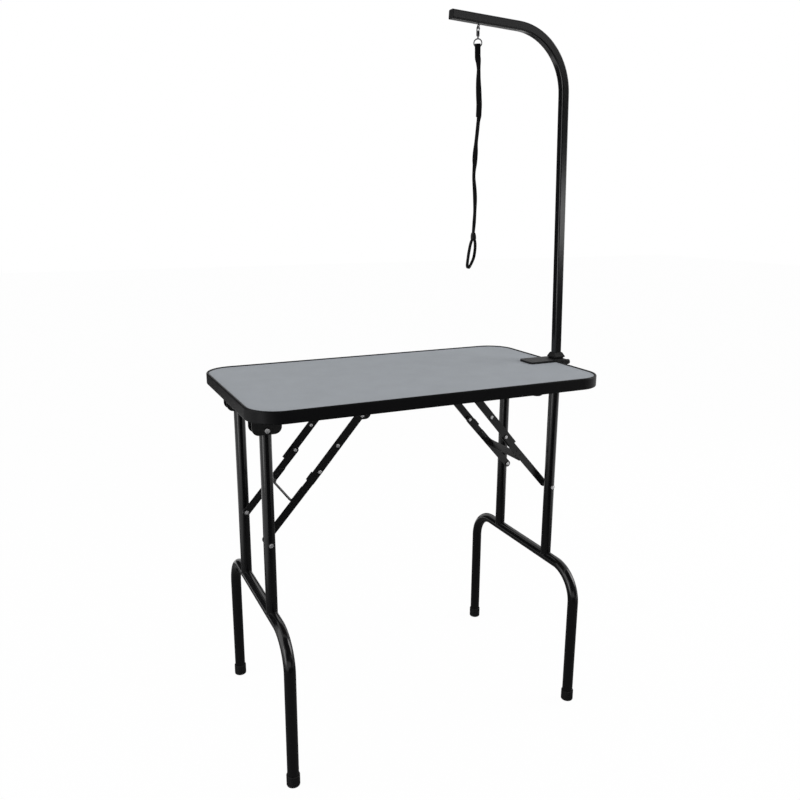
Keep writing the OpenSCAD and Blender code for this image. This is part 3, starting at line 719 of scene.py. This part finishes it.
class Finishes:
    """All finishes of the table, made into materials once."""

    made: dict[str, Material] = {}
    kinds: list[Finish] = [
        GrainFinish("black_paint", (0.0020, 0.0020, 0.0023), (0.0036, 0.0036, 0.0040), (0.13, 0.21),
                    0.00005, 0.15, specular=0.34, fine=700.0, dust=0.03),
        GrainFinish("brace_paint", (0.0022, 0.0022, 0.0025), (0.0042, 0.0042, 0.0047), (0.26, 0.36),
                    0.00006, 0.2, specular=0.46, fine=700.0, dust=0.03),
        GrainFinish("arm_paint", (0.0026, 0.0026, 0.0030), (0.0048, 0.0048, 0.0054), (0.16, 0.23),
                    0.00005, 0.15, specular=0.46, fine=700.0, dust=0.03),
        GrainFinish("clamp_paint", (0.0030, 0.0030, 0.0034), (0.0060, 0.0060, 0.0066), (0.46, 0.58),
                    0.00008, 0.3, specular=0.21, fine=900.0, dust=0.03),
        GrainFinish("trim_rubber", (0.0022, 0.0022, 0.0025), (0.0044, 0.0044, 0.0049), (0.34, 0.46),
                    0.00009, specular=0.07, fine=1300.0, dust=0.03),
        GrainFinish("foot_rubber", (0.0035, 0.0035, 0.0038), (0.007, 0.007, 0.0075), (0.58, 0.72),
                    0.00012, specular=0.14, fine=1500.0, dust=0.08),
        GrainFinish("black_plastic", (0.003, 0.003, 0.0033), (0.006, 0.006, 0.0066), (0.36, 0.50),
                    0.00010, specular=0.14, fine=1700.0, dust=0.03),
        GrainFinish("bright_steel", (0.07, 0.07, 0.074), (0.18, 0.18, 0.185), (0.20, 0.34),
                    0.00002, 0.2, fine=2400.0, slow=160.0, metallic=1.0),
        GrainFinish("hook_steel", (0.03, 0.03, 0.032), (0.09, 0.09, 0.094), (0.28, 0.42),
                    0.00002, 0.2, fine=2400.0, slow=160.0, metallic=1.0),
        GrainFinish("spindle_steel", (0.42, 0.42, 0.44), (0.60, 0.60, 0.62), (0.30, 0.46),
                    0.00004, fine=1600.0, slow=90.0, metallic=1.0),
        # The rivets' light steel tones are a painted highlight on their crowns
        RivetFinish("rivet_steel", (0.78, 0.78, 0.79), (0.96, 0.96, 0.97), (0.38, 0.52),
                    0.00004, 0.3, specular=0.25),
        PebbleFinish("mat_rubber", (0.27, 0.29, 0.31), (0.34, 0.36, 0.39), (0.62, 0.78),
                     0.00022, 0.5, specular=0.3),
        BoardFinish("board_wood", (0.05, 0.034, 0.022), (0.14, 0.095, 0.058), (0.5, 0.75), 0.0002, 0.3),
        WovenFinish("webbing", (0.0015, 0.0015, 0.0017), (0.0060, 0.0060, 0.0066), (0.6, 0.85),
                    0.00022, 0.6, specular=0.04, sheen=0.01),
    ]

    @classmethod
    def build(cls) -> None:
        """Makes every material."""
        cls.made = {kind.name: kind.material() for kind in cls.kinds}

    @classmethod
    def dress(cls, piece: Piece, finish: str) -> None:
        """Gives a piece the finish of that name alone."""
        piece.data.materials.clear()
        piece.data.materials.append(cls.made[finish])


def add_piece(piece: Piece, body: str, slot: Slot, *replaced: str, finish: str = "") -> Piece:
    """Dresses a new piece, rides it on a body and hides the nodes it stands for.

    Args:
        piece: The new object.
        body: Body that carries it.
        slot: The record's slot of its finish.
        *replaced: Nodes that the piece stands for.
        finish: Name of its finish, where that isn't the slot's own.

    Returns:
        The same object.
    """
    Finishes.dress(piece, finish or slot.value)
    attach(piece, body)
    if replaced:
        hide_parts(*replaced)
    log.info("piece %s rides on %s", piece.name, body)
    return piece


# Camera, stage and light


def level_face(x: Span, y: Span, z: float) -> Corners:
    """Corners of a level rectangle between two values of x and of y."""
    return (x[0], y[0], z), (x[1], y[0], z), (x[1], y[1], z), (x[0], y[1], z)


def upright_face(start: Span, end: Span, z: Span) -> Corners:
    """Corners of an upright rectangle over the line from one point of the floor to another."""
    return (*start, z[0]), (*end, z[0]), (*end, z[1]), (*start, z[1])


def stand(item: Piece, axes: list[Array], place: Point) -> None:
    """Stands a camera or a lamp in the scene.

    Args:
        item: The camera or lamp, which faces away from its own Z.
        axes: Directions of its X, Y and Z.
        place: Where it stands.
    """
    turn = np.eye(4)
    turn[:3] = np.stack([*axes, place], axis=-1)
    item.matrix_world = Matrix(turn.tolist())
    bpy.context.scene.collection.objects.link(item)


def stage_face(name: str, corners: Corners) -> tuple[Piece, Nodes]:
    """One flat face of the stage with an empty material.

    Args:
        name: Name of the face and of its material.
        corners: Its four corners, in order round it.

    Returns:
        The object and its material's node helper.
    """
    mesh = bpy.data.meshes.new(name)
    mesh.from_pydata(list(corners), [], [(0, 1, 2, 3)])
    face = bpy.data.objects.new(name, mesh)
    bpy.context.scene.collection.objects.link(face)
    material = bpy.data.materials.new(name)
    material.use_nodes = True
    mesh.materials.append(material)
    return face, Nodes(material.node_tree)


@dataclass(frozen=True)
class Screen:
    """Dark cloth, as studios hang between white walls so that glossy paint reads as black."""

    name: str
    tone: float
    corners: Corners

    def build(self) -> None:
        """Hangs the cloth. Only reflections see it: it throws no shadow and no light on the object."""
        face, n = stage_face(self.name, self.corners)
        face.visible_camera = face.visible_diffuse = False
        face.visible_shadow = face.visible_transmission = False
        cloth = n.put(n.add("BsdfDiffuse"), Color=(self.tone, self.tone, self.tone, 1.0))
        n.put(n.add("OutputMaterial"), Surface=cloth.outputs["BSDF"])


@dataclass(frozen=True)
class SoftBox:
    """Rectangular lamp: its place, the point it faces, its width and height and its power."""

    name: str
    place: Point
    aim: Point
    size: Span
    watts: float

    def build(self) -> None:
        """Adds the lamp: its width is level, and it faces the point it aims at."""
        data = bpy.data.lights.new(self.name, "AREA")
        data.shape, data.energy = "RECTANGLE", self.watts
        data.size, data.size_y = self.size
        back = unit(np.array([self.place]) - self.aim)[0]
        side = unit(np.cross(Z_AXIS, back)[None])[0]
        stand(bpy.data.objects.new(self.name, data), [side, np.cross(back, side), back], self.place)


@dataclass
class Studio:
    """Camera at the photograph's angle, a pale floor and soft light."""

    eye: Point = (-0.78549, -1.59532, 1.19028)
    yaw: float = math.radians(25.3516)
    pitch: float = math.radians(13.9575)
    roll: float = math.radians(0.2881)
    lens: float = 35.208
    sensor: float = 36.0
    sight: float = 100.0
    floor_half: float = 14.0
    floor_tone: Colour = (0.80, 0.80, 0.80)
    floor_white: float = 0.975
    ambient: float = 0.64
    black: float = 0.02
    grey: float = 0.13

    def camera(self) -> None:
        """Places the camera: it looks along its yaw and pitch and is rolled about that line."""
        ahead = np.array([math.sin(self.yaw), math.cos(self.yaw), 0.0])
        look = math.cos(self.pitch) * ahead - math.sin(self.pitch) * Z_AXIS
        side = np.array([math.cos(self.yaw), -math.sin(self.yaw), 0.0])
        side, up = spun(side, np.cross(side, look), -self.roll)
        data = bpy.data.cameras.new("camera")
        data.lens, data.sensor_width, data.sensor_fit = self.lens, self.sensor, "HORIZONTAL"
        data.clip_end = self.sight
        camera = bpy.data.objects.new("camera", data)
        stand(camera, [side, up, -look], self.eye)
        bpy.context.scene.camera = camera

    @staticmethod
    def seen(n: Nodes) -> Socket:
        """1 for camera, glossy and transmission rays, which see the pale background as white.

        Args:
            n: Node helper of the floor or the world.

        Returns:
            The mask's output.
        """
        path = n.add("LightPath")
        seen = n.calc("MAXIMUM", path.outputs["Is Camera Ray"], path.outputs["Is Glossy Ray"])
        return n.calc("MAXIMUM", seen, path.outputs["Is Transmission Ray"])

    def floor(self) -> None:
        """Flat floor that reads as white and keeps a faint shadow of the object."""
        ends = (-self.floor_half, self.floor_half)
        n = stage_face("floor", level_face(ends, ends, 0.0))[1]
        plain = n.put(n.add("BsdfDiffuse"), Color=(*self.floor_tone, 1.0))
        white = n.put(n.add("Emission"), Color=(1.0, 1.0, 1.0, 1.0), Strength=1.0)
        mix = n.add("MixShader")
        n.fill(mix.inputs[0], n.calc("MULTIPLY", self.seen(n), self.floor_white))
        n.fill(mix.inputs[1], plain.outputs["BSDF"])
        n.fill(mix.inputs[2], white.outputs["Emission"])
        n.put(n.add("OutputMaterial"), Surface=mix.outputs["Shader"])

    def world(self) -> None:
        """White surroundings to the eye and in reflections, and an even pale light on surfaces."""
        world = bpy.data.worlds.new("studio")
        world.use_nodes = True
        bpy.context.scene.world = world
        n = Nodes(world.node_tree)
        level = n.span(self.seen(n), self.ambient, 1.0)
        light = n.put(n.add("Background"), Color=(1.0, 1.0, 1.0, 1.0), Strength=level)
        n.put(n.add("OutputWorld"), Surface=light.outputs["Background"])

    def screens(self) -> list[Screen]:
        """Dark screens round the table: on the floor, on all sides and overhead."""
        low = ((-2.4, -4.6, 0.004), (2.3, -4.6, 0.004), (0.7, -1.0, 0.004), (-1.0, -1.0, 0.004))
        return [
            Screen("screen_low", self.black, low),
            Screen("screen_under", self.grey, level_face((-1.2, 1.4), (-1.0, 1.2), 0.003)),
            Screen("screen_front", self.black, upright_face((0.6, -2.4), (4.2, -2.4), (0.01, 2.02))),
            Screen("screen_side", self.black, upright_face((-3.4, -2.9), (0.6, -2.9), (0.85, 2.3))),
            Screen("screen_back", self.black, upright_face((-2.3, 1.8), (-0.7, 3.0), (0.0, 3.0))),
            Screen("screen_far", self.black, upright_face((1.2, 5.0), (5.4, 5.0), (0.0, 2.0))),
            Screen("screen_rear", self.black, level_face((-0.4, 1.9), (2.0, 3.4), 0.003)),
            Screen("screen_top", self.black, level_face((-2.4, 3.2), (-3.6, -0.6), 2.7)),
        ]

    @staticmethod
    def lamps() -> list[SoftBox]:
        """Soft boxes: a key and a fill over the top, and one each for the arm and the left legs."""
        return [
            SoftBox("key_box", (-2.5, 0.2, 1.7), (0.0, 0.0, 0.8), (2.0, 3.0), 31.0),
            SoftBox("fill_box", (2.6, -0.8, 1.8), (0.0, 0.0, 0.8), (1.3, 2.0), 46.0),
            SoftBox("arm_box", (2.03, -2.3, 1.14), (0.39, 0.0, 1.16), (0.4, 0.4), 2.1),
            SoftBox("strip_box", (-1.9, -0.75, 0.62), (0.0, 0.0, 0.55), (0.6, 1.1), 8.0),
        ]

    def build(self) -> None:
        """Builds the stage, its dark screens and its lamps."""
        self.floor()
        self.world()
        for item in (*self.screens(), *self.lamps()):
            item.build()
        bpy.context.scene.view_settings.view_transform = "Standard"


# The leash


@dataclass
class Leash:
    """Webbing below the arm: a fold through the swivel's ring, a sewn part, a slider and a loop.

    The leash's own frame has its origin at the ring's bottom, below the joint on which the leash swings. The
    route's fourth column is the strap's turn about Z in degrees.
    """

    drop_mm: float = 39.85
    lean: float = math.radians(2.0)
    turn: float = math.radians(-30.0)
    width_mm: float = 12.5
    thick_mm: float = 2.2
    head_mm: float = 16.0
    sewn_mm: float = 124.5
    ease_mm: float = 12.0
    fold_wide_mm: float = 3.5
    fold_high_mm: float = 7.177
    fold_close_mm: float = 4.0
    fold_open_mm: Span = (0.2, 1.6)
    fold_belly: float = 0.8
    fold_step: int = 20
    slider_mm: Point = (14.0, 9.0, 15.0)
    slider_square: float = 0.28
    slider_rings: int = 41
    slider_points: int = 48
    edge_mm: float = 0.5
    edge_power: float = 9.0
    taper_mm: float = 1.6
    taper_share: float = 0.6
    taper_power: float = 1.5
    groove_mm: float = 0.28
    groove_levels: Span = (0.36, 0.64)
    groove_half: float = 0.05
    stitch_mm: Point = (2.6, 0.42, 3.6)
    stitch_ends_mm: Span = (6.0, 4.0)
    stitch_in_mm: float = 1.6
    stitch_points: int = 6
    stitch_levels: tuple[float, ...] = (-1.0, -0.8, 0.8, 1.0)
    stitch_fatness: tuple[float, ...] = (0.35, 1.0, 1.0, 0.35)
    curve_steps: int = 8
    fold_steps: int = 4
    route_mm: Array = field(default_factory=lambda: np.array([
        [0, 0, 0, 0], [0.5, 0, -6, -25], [1.5, 0, -14, -52], [2, 0, -24, -66], [2, 0, -30, -67],
        [1.5, 0, -48, -54], [2, 0, -68, -37], [2.5, 0, -84, -31], [3, 0, -100, -31], [2, 0, -122, -33],
        [2, 0, -125, -41], [1, 0, -134, -54], [-1, 0, -154, -55], [-4, 0, -180, -54], [-5.5, 1, -200, -29],
        [-6.5, 1, -214, -28], [-7, 1, -226, -45], [-8.5, 1, -240, -58], [-9, 1, -255, -60],
        [-7.5, 0, -276, -51], [-6.5, 0, -299, -49], [-7, -1, -328, -60], [-8.5, -0.5, -352, -57],
        [-10.5, 0, -375, -64],
    ], dtype=float))
    loop_mm: Array = field(default_factory=lambda: np.array([
        [2.6, 0], [4.2, -7], [4.5, -15], [4.1, -23], [2.8, -32], [0.6, -42], [-3, -50], [-7.2, -57.5],
        [-11.2, -63.5], [-14.2, -65], [-16, -60], [-15.3, -52], [-13.8, -42], [-12, -31], [-10, -22],
        [-8.2, -14], [-5.8, -6.5], [-2.6, 0],
    ], dtype=float))

    def placed(self, points_mm: Array) -> Array:
        """Points of the leash's own frame in the table's: turned with the swivel, then leaned about Y.

        Args:
            points_mm: Points of the leash's frame in a grid of any shape.

        Returns:
            The same points in metres in the table's frame.
        """
        x, y, z = np.moveaxis(points_mm, -1, 0)
        x, y = spun(x, y, self.turn)
        z, x = spun(z, x, -self.lean)
        hang = np.array(joint_row("leash_swing")["pos_m"]) - self.drop_mm * MM * Z_AXIS
        return np.stack([x, y, z], axis=-1) * MM + hang

    def on_slider(self, points_mm: Array) -> Array:
        """Points of the slider's frame in the table's: that frame turns with the strap's lower end.

        Args:
            points_mm: Points of the slider's frame in a grid of any shape.

        Returns:
            The same points in metres in the table's frame.
        """
        *end, turn = self.route_mm[-1]
        x, y, z = np.moveaxis(points_mm, -1, 0)
        x, y = spun(x, y, math.radians(turn))
        return self.placed(np.stack([x, y, z], axis=-1) + end - self.head_mm * Z_AXIS)

    def run(self) -> Run:
        """Smooth route of the strap below its fold, turned about Z as the route says.

        Returns:
            Points, the strap's width direction and its thickness direction, all in the leash's frame.
        """
        fine = smooth_curve(self.route_mm, self.curve_steps)
        turn = np.radians(fine[:, 3])
        flat = np.zeros_like(turn)
        across = np.stack([np.cos(turn), np.sin(turn), flat], axis=-1)
        out = np.stack([-np.sin(turn), np.cos(turn), flat], axis=-1)
        return fine[:, :3] - self.head_mm * Z_AXIS, across, out

    def below_head(self, path: Array) -> Array:
        """Depth of a path's points below the end of the fold."""
        return -(path[:, 2] + self.head_mm)

    def webbing(self, name: str, run: Run, place: Callable[[Array], Array]) -> tuple[Piece, Array]:
        """Strap whose flat profile is carried along a path.

        Args:
            name: Name of the piece.
            run: Points of its centre line, and the directions of its width and its thickness there.
            place: Function that takes points of the run's frame to the table's.

        Returns:
            The piece and its centre line in the table's frame.
        """
        profile = rounded_bar(self.width_mm, self.thick_mm)
        line = place(run[0])
        return surface(name, place(carried(*run, profile)), strap_uv(line, profile * MM)), line

    def strap(self) -> tuple[Piece, Array]:
        """Main ply of the strap, which lies half a thickness aside while it is sewn to the second ply.

        Returns:
            The piece and its centre line in the table's frame.
        """
        path, across, out = self.run()
        eased = np.clip((self.below_head(path) - self.sewn_mm) / self.ease_mm, 0.0, 1.0)
        aside = self.thick_mm / 2 * (1 - eased)
        return self.webbing("leash_webbing", (path + aside[:, None] * out, across, out), self.placed)

    def second_ply(self) -> Piece:
        """Short ply behind the main one, from the fold down to the end of the sewing.

        Returns:
            The ply.
        """
        path, across, out = self.run()
        kept = self.below_head(path) <= self.sewn_mm
        run = (path - self.thick_mm / 2 * out)[kept], across[kept], out[kept]
        return self.webbing("leash_sewn_ply", run, self.placed)[0]

    def fold(self) -> Piece:
        """Strap that rises on one side, goes over the ring's wire in an arc and comes down on the other.

        Returns:
            The fold.
        """
        flat, half = self.thick_mm / 2, self.fold_wide_mm / 2
        wide, high = half + flat, self.fold_high_mm - half
        aside, below = self.fold_open_mm
        rise = np.array([
            [flat, -self.head_mm], [flat, -self.head_mm / 2], [flat, -self.fold_close_mm],
            [flat + aside, -below], [wide, half * self.fold_belly], [wide, high],
        ])
        arc = np.radians(np.arange(self.fold_step, 180, self.fold_step))
        over = np.stack([np.cos(arc), np.sin(arc)], axis=-1) * wide + [0, high]
        side = smooth_curve(np.vstack([rise, over, rise[::-1] * [-1, 1]]), self.fold_steps)
        path = np.insert(side, 0, 0.0, axis=1)
        across = np.broadcast_to(X_AXIS, path.shape)
        out = np.cross(unit(np.gradient(path, axis=0)), across)
        return self.webbing("leash_fold", (path, across, out), self.placed)[0]

    def slider(self) -> Piece:
        """Slider as a rounded block: a superellipse in plan, narrower towards its top, with two grooves.

        Each ring shrinks by a high power of its distance from the middle, which rounds the edges, by a
        power of its height above the tapered part, and by a bell curve at each groove.

        Returns:
            The slider.
        """
        wide, thick, high = self.slider_mm
        level = np.linspace(0.0, 1.0, self.slider_rings)
        edge = self.edge_mm * np.abs(2 * level - 1) ** self.edge_power
        taper = self.taper_mm * np.clip(1 - level / self.taper_share, 0.0, 1.0) ** self.taper_power
        bells = [np.exp(-(((level - at) / self.groove_half) ** 2)) for at in self.groove_levels]
        shrink = (edge + taper + self.groove_mm * sum(bells))[:, None]
        x, y = boxy(circle(self.slider_points).T, self.slider_square)
        z = np.broadcast_to(-high * level[:, None], (len(level), len(x)))
        grid = np.stack([(wide / 2 - shrink) * x, (thick / 2 - shrink) * y, z], axis=-1)
        return surface("leash_slide", self.on_slider(grid))

    def loop(self) -> tuple[Piece, Array]:
        """Loop below the slider: the strap stands across the loop's plane all the way round.

        Returns:
            The piece and its centre line in the table's frame.
        """
        side = smooth_curve(self.loop_mm, self.curve_steps)
        path = np.insert(side, 0, 0.0, axis=1) - self.slider_mm[2] * Z_AXIS
        along = np.gradient(path, axis=0)
        along[0], along[-1] = -Z_AXIS, Z_AXIS
        across = np.broadcast_to(X_AXIS, path.shape)
        out = np.cross(across, unit(along))
        return self.webbing("leash_noose", (path, across, out), self.on_slider)

    def stitches(self) -> Piece:
        """Two rows of thread on both faces of the sewn part, each stitch a short bead along the strap.

        Returns:
            All stitches as one piece.
        """
        path, across, out = self.run()
        long, thick, pitch = self.stitch_mm
        first, last = self.stitch_ends_mm
        at = np.arange(first, self.sewn_mm - last, pitch)

        def sampled(values: Array) -> Array:
            """Values of the route at each stitch, by its depth below the fold."""
            depth = self.below_head(path)
            return np.stack([np.interp(at, depth, column) for column in values.T], axis=-1)[:, None, None]

        middle, wide, face = sampled(path), sampled(across), sampled(out)
        fat = thick / 2 * np.array(self.stitch_fatness)
        ring = fat[:, None, None] * circle(self.stitch_points)[None]
        level = long / 2 * np.array(self.stitch_levels)[:, None, None] * Z_AXIS
        bead = ring[..., :1] * wide + ring[..., 1:] * face + level
        inset = self.width_mm / 2 - self.stitch_in_mm
        seats = [middle + row * inset * wide + side * self.thick_mm * face
                 for row in (-1.0, 1.0) for side in (-1.0, 1.0)]
        return joined("leash_stitches", self.placed(np.concatenate([seat + bead for seat in seats])))

    def build(self) -> None:
        """Builds the leash and dresses its pieces."""
        strap, line = self.strap()
        loop, loop_line = self.loop()
        add_piece(strap, "leash", Slot.WEBBING, "leash_strap")
        add_piece(loop, "leash", Slot.WEBBING, "leash_loop")
        fold = add_piece(self.fold(), "leash", Slot.WEBBING, "leash_head")
        ply = add_piece(self.second_ply(), "leash", Slot.WEBBING)
        sewn = add_piece(self.stitches(), "leash", Slot.WEBBING)
        slide = add_piece(self.slider(), "leash", Slot.PLASTIC, "leash_slider")


# Leg frames


@dataclass
class LegFrames:
    """Details of the two leg frames: weld beads under the uprights and ribbed foot caps.

    The cap's tread and rim are pairs of inset from its side and height above its base or below its top.
    """

    bead_r_mm: float = 1.3
    bead_sink_mm: float = 0.75
    bead_ease_mm: float = 3.5
    bead_lower: float = 0.4
    bead_tilt: float = 0.6
    bead_rings: int = 240
    bead_points: int = 12
    ripple: float = 0.09
    ripples: int = 46
    rib_deep_mm: float = 0.45
    rib_pitch_mm: float = 4.6
    rib_sharp: float = 3.0
    rib_low_mm: float = 4.0
    rib_high_mm: float = 3.0
    rib_rings: int = 46
    tread_mm: tuple[Span, ...] = ((3.2, 0.0), (1.6, 0.35), (0.5, 1.2), (0.0, 2.6))
    rim_mm: tuple[Span, ...] = ((0.0, 1.6), (0.3, 0.6), (0.9, 0.0))
    foot_points: int = 64

    def bead(self, side: Side, row: Row) -> Piece:
        """Weld bead along the saddle where an upright meets the crossbar.

        The path runs round the upright just inside its skin, at the height of the crossbar's round top there:
        the root of radius squared minus x squared, eased at its two low points. The bead is round, and its
        radius rises and falls in small ripples along the path.

        Args:
            side: End of the table.
            row: Row of legs.

        Returns:
            The bead.
        """
        base, tube_r, _ = upright_round(f"{side.value}_{row.value}_upright")
        x, y = (tube_r - self.bead_sink_mm) * circle(self.bead_rings).T
        z = np.sqrt(y**2 + self.bead_ease_mm**2) - self.bead_ease_mm * self.bead_lower
        path = np.stack([x, y, z], axis=-1)
        out = unit(np.insert(circle(self.bead_rings), 2, self.bead_tilt, axis=1))
        along = unit(np.roll(path, -1, axis=0) - np.roll(path, 1, axis=0))
        radius = self.bead_r_mm * (1 + self.ripple * np.cos(self.ripples * angles(self.bead_rings)))
        profile = radius[:, None, None] * circle(self.bead_points)[None]
        grid = carried(path, out, np.cross(along, out), profile) + base
        return surface(f"{side.value}_{row.value}_weld", grid * MM, closed=True)

    def foot(self, side: Side, row: Row) -> Piece:
        """Foot cap turned about its leg: a rounded base, shallow ribs from a sharpened sine and a rolled rim.

        Args:
            side: End of the table.
            row: Row of legs.

        Returns:
            The cap.
        """
        base, r, h = upright_round(f"{side.value}_{row.value}_foot")
        tube_r = upright_round(f"{side.value}_{row.value}_upright")[1]
        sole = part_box(f"{side.value}_u_tube")[0][2] / MM
        tread = [(r - inset, up) for inset, up in self.tread_mm]
        z = np.linspace(self.rib_low_mm, h - self.rib_high_mm, self.rib_rings)
        wave = np.sin((z - self.rib_low_mm) / self.rib_pitch_mm * math.pi) ** 2
        rib = np.clip(wave * self.rib_sharp - (self.rib_sharp - 1), 0, 1)
        wall = np.stack([r - self.rib_deep_mm * rib, z], axis=-1)
        rim = [(r - inset, h - down) for inset, down in self.rim_mm]
        hole = [(tube_r, h), (tube_r, sole), (POLE_MM, sole)]
        radius, height = np.vstack([[(POLE_MM, 0.0)], tread, wall, rim, hole]).T
        grid = round_z(np.tile(radius[:, None], self.foot_points), height) + base
        return surface(f"{side.value}_{row.value}_foot_cap", grid * MM)

    def build(self) -> None:
        """Builds both frames' beads and caps."""
        for side in Side:
            body = f"{side.value}_frame"
            for row in Row:
                foot = f"{side.value}_{row.value}_foot"
                add_piece(self.bead(side, row), body, Slot.PAINT)
                add_piece(self.foot(side, row), body, Slot.FOOT, foot)


# Clamp and arm


@dataclass(frozen=True)
class FlutedGrip:
    """Grip along Z with flutes along its side and rounded ends."""

    length_mm: float
    radius_mm: float
    flutes: int
    deep_mm: float
    ease_mm: float
    end_rings: int = 9
    side_rings: int = 22
    points: int = 120

    def grid(self) -> Array:
        """Grid of the grip: radius less the ends' quarter circles and a squared cosine of the flutes.

        Returns:
            Rings of points in mm, the first at the origin.
        """
        long, ease = self.length_mm, self.ease_mm
        level = np.concatenate([
            [0.0], np.linspace(0.0, ease, self.end_rings),
            np.linspace(ease, long - ease, self.side_rings)[1:-1],
            np.linspace(long - ease, long, self.end_rings), [long],
        ])
        edge = np.clip(np.minimum(level, long - level) / ease, 0.0, 1.0)[:, None]
        rounding = ease * (1 - np.sqrt(1 - (1 - edge) ** 2))
        dip = self.deep_mm * (0.5 + 0.5 * np.cos(self.flutes * angles(self.points))) ** 2
        radius = self.radius_mm - rounding - dip[None] * np.sqrt(edge)
        radius[[0, -1]] = POLE_MM
        return round_z(radius, level)


@dataclass
class Clamp:
    """Grip, spindle and knob of the arm's clamp."""

    grip: FlutedGrip = FlutedGrip(22.0, 14.0, 6, 2.8, 2.4)
    spindle_r_mm: float = 5.0
    spindle_core_mm: float = 4.0
    spindle_in_mm: float = 1.0
    spindle_points: int = 36
    pitch_mm: float = 2.0
    thread_mm: float = 0.95
    thread_rings: int = 6
    knob: FlutedGrip = FlutedGrip(22.0, 6.5, 8, 0.7, 1.4)
    knob_out_mm: float = 18.0
    shank_r_mm: float = 3.0
    shank_out_mm: float = 9.6

    def clamp_grip(self) -> Piece:
        """Lobed grip at the foot of the clamp's screw."""
        return surface("clamp_grip", (self.grip.grid() + upright_round("clamp_screw")[0]) * MM)

    def clamp_spindle(self) -> Piece:
        """Threaded spindle: its radius follows a rounded triangle wave of height less the angle's share.

        Returns:
            The spindle.
        """
        (x, y, low), _, high = upright_round("clamp_screw")
        top = low + high
        step = self.pitch_mm / self.thread_rings
        level = np.arange(low + self.grip.length_mm - self.spindle_in_mm, top + step / 2, step)
        level[-1] = top
        phase = level[:, None] / self.pitch_mm - angles(self.spindle_points)[None] / TURN
        wave = np.abs(2 * (phase - np.floor(phase)) - 1)
        radius = self.spindle_r_mm - self.thread_mm * wave * wave * (3 - 2 * wave)
        radius[[0, -1]] = self.spindle_core_mm
        return surface("clamp_spindle", (round_z(radius, level) + [x, y, 0.0]) * MM)

    def arm_knob(self) -> Piece:
        """Fluted knob of the arm's locking screw on a plain shank, its Z laid along the knob's joint.

        Returns:
            The knob with its shank.
        """
        body = self.knob.grid() + self.knob_out_mm * Z_AXIS
        radius = np.full((2, self.knob.points), self.shank_r_mm)
        shank = round_z(radius, np.array([self.shank_out_mm, self.knob_out_mm]))
        z, y, x = np.moveaxis(np.concatenate([shank, body[1:]]), -1, 0)
        joint = joint_row("knob_turn")
        along_x, _, along_z = joint["axis"]
        x, z = spun(x, -z, math.atan2(along_z, along_x))
        return surface("arm_knob_grip", np.stack([x, y, z], axis=-1) * MM + joint["pos_m"])

    def build(self) -> None:
        """Builds the clamp's pieces."""
        add_piece(self.clamp_grip(), "screw", Slot.PLASTIC, "clamp_screw")
        add_piece(self.clamp_spindle(), "screw", Slot.RIVET, finish="spindle_steel")
        add_piece(self.arm_knob(), "knob", Slot.PLASTIC, "arm_knob")


@dataclass
class Solids:
    """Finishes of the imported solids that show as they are."""

    special: dict[str, str] = field(default_factory=lambda: {
        "clamp_pad": "foot_rubber",
        "arm": "arm_paint",
        "clamp_plate": "clamp_paint",
        "bracket_screws": "spindle_steel",
        "snap_hook": "hook_steel",
        "snap_bolt": "hook_steel",
    })
    flat_words: tuple[str, ...] = ("_link", "_spreader", "_bracket_")

    def dress(self) -> None:
        """Gives each node the finish of its slot in the record, or its own where it has one."""
        slots = {row["node"]: row["material_slot"] for row in frame["record"]["subparts"]}
        for name, node in frame["nodes"].items():
            finish = self.special.get(name, slots[name])
            if finish == "black_paint" and any(word in name for word in self.flat_words):
                finish = "brace_paint"
            Finishes.dress(node, finish)


def main() -> None:
    """Builds the scene: camera and leash first, then the other pieces, the finishes and the light."""
    logging.basicConfig(level=logging.INFO, format="%(name)s: %(message)s")
    Groups.build()
    Finishes.build()
    studio = Studio()
    studio.camera()
    Leash().build()
    LegFrames().build()
    Clamp().build()
    Solids().dress()
    studio.build()


if __name__ == "__main__":
    main()
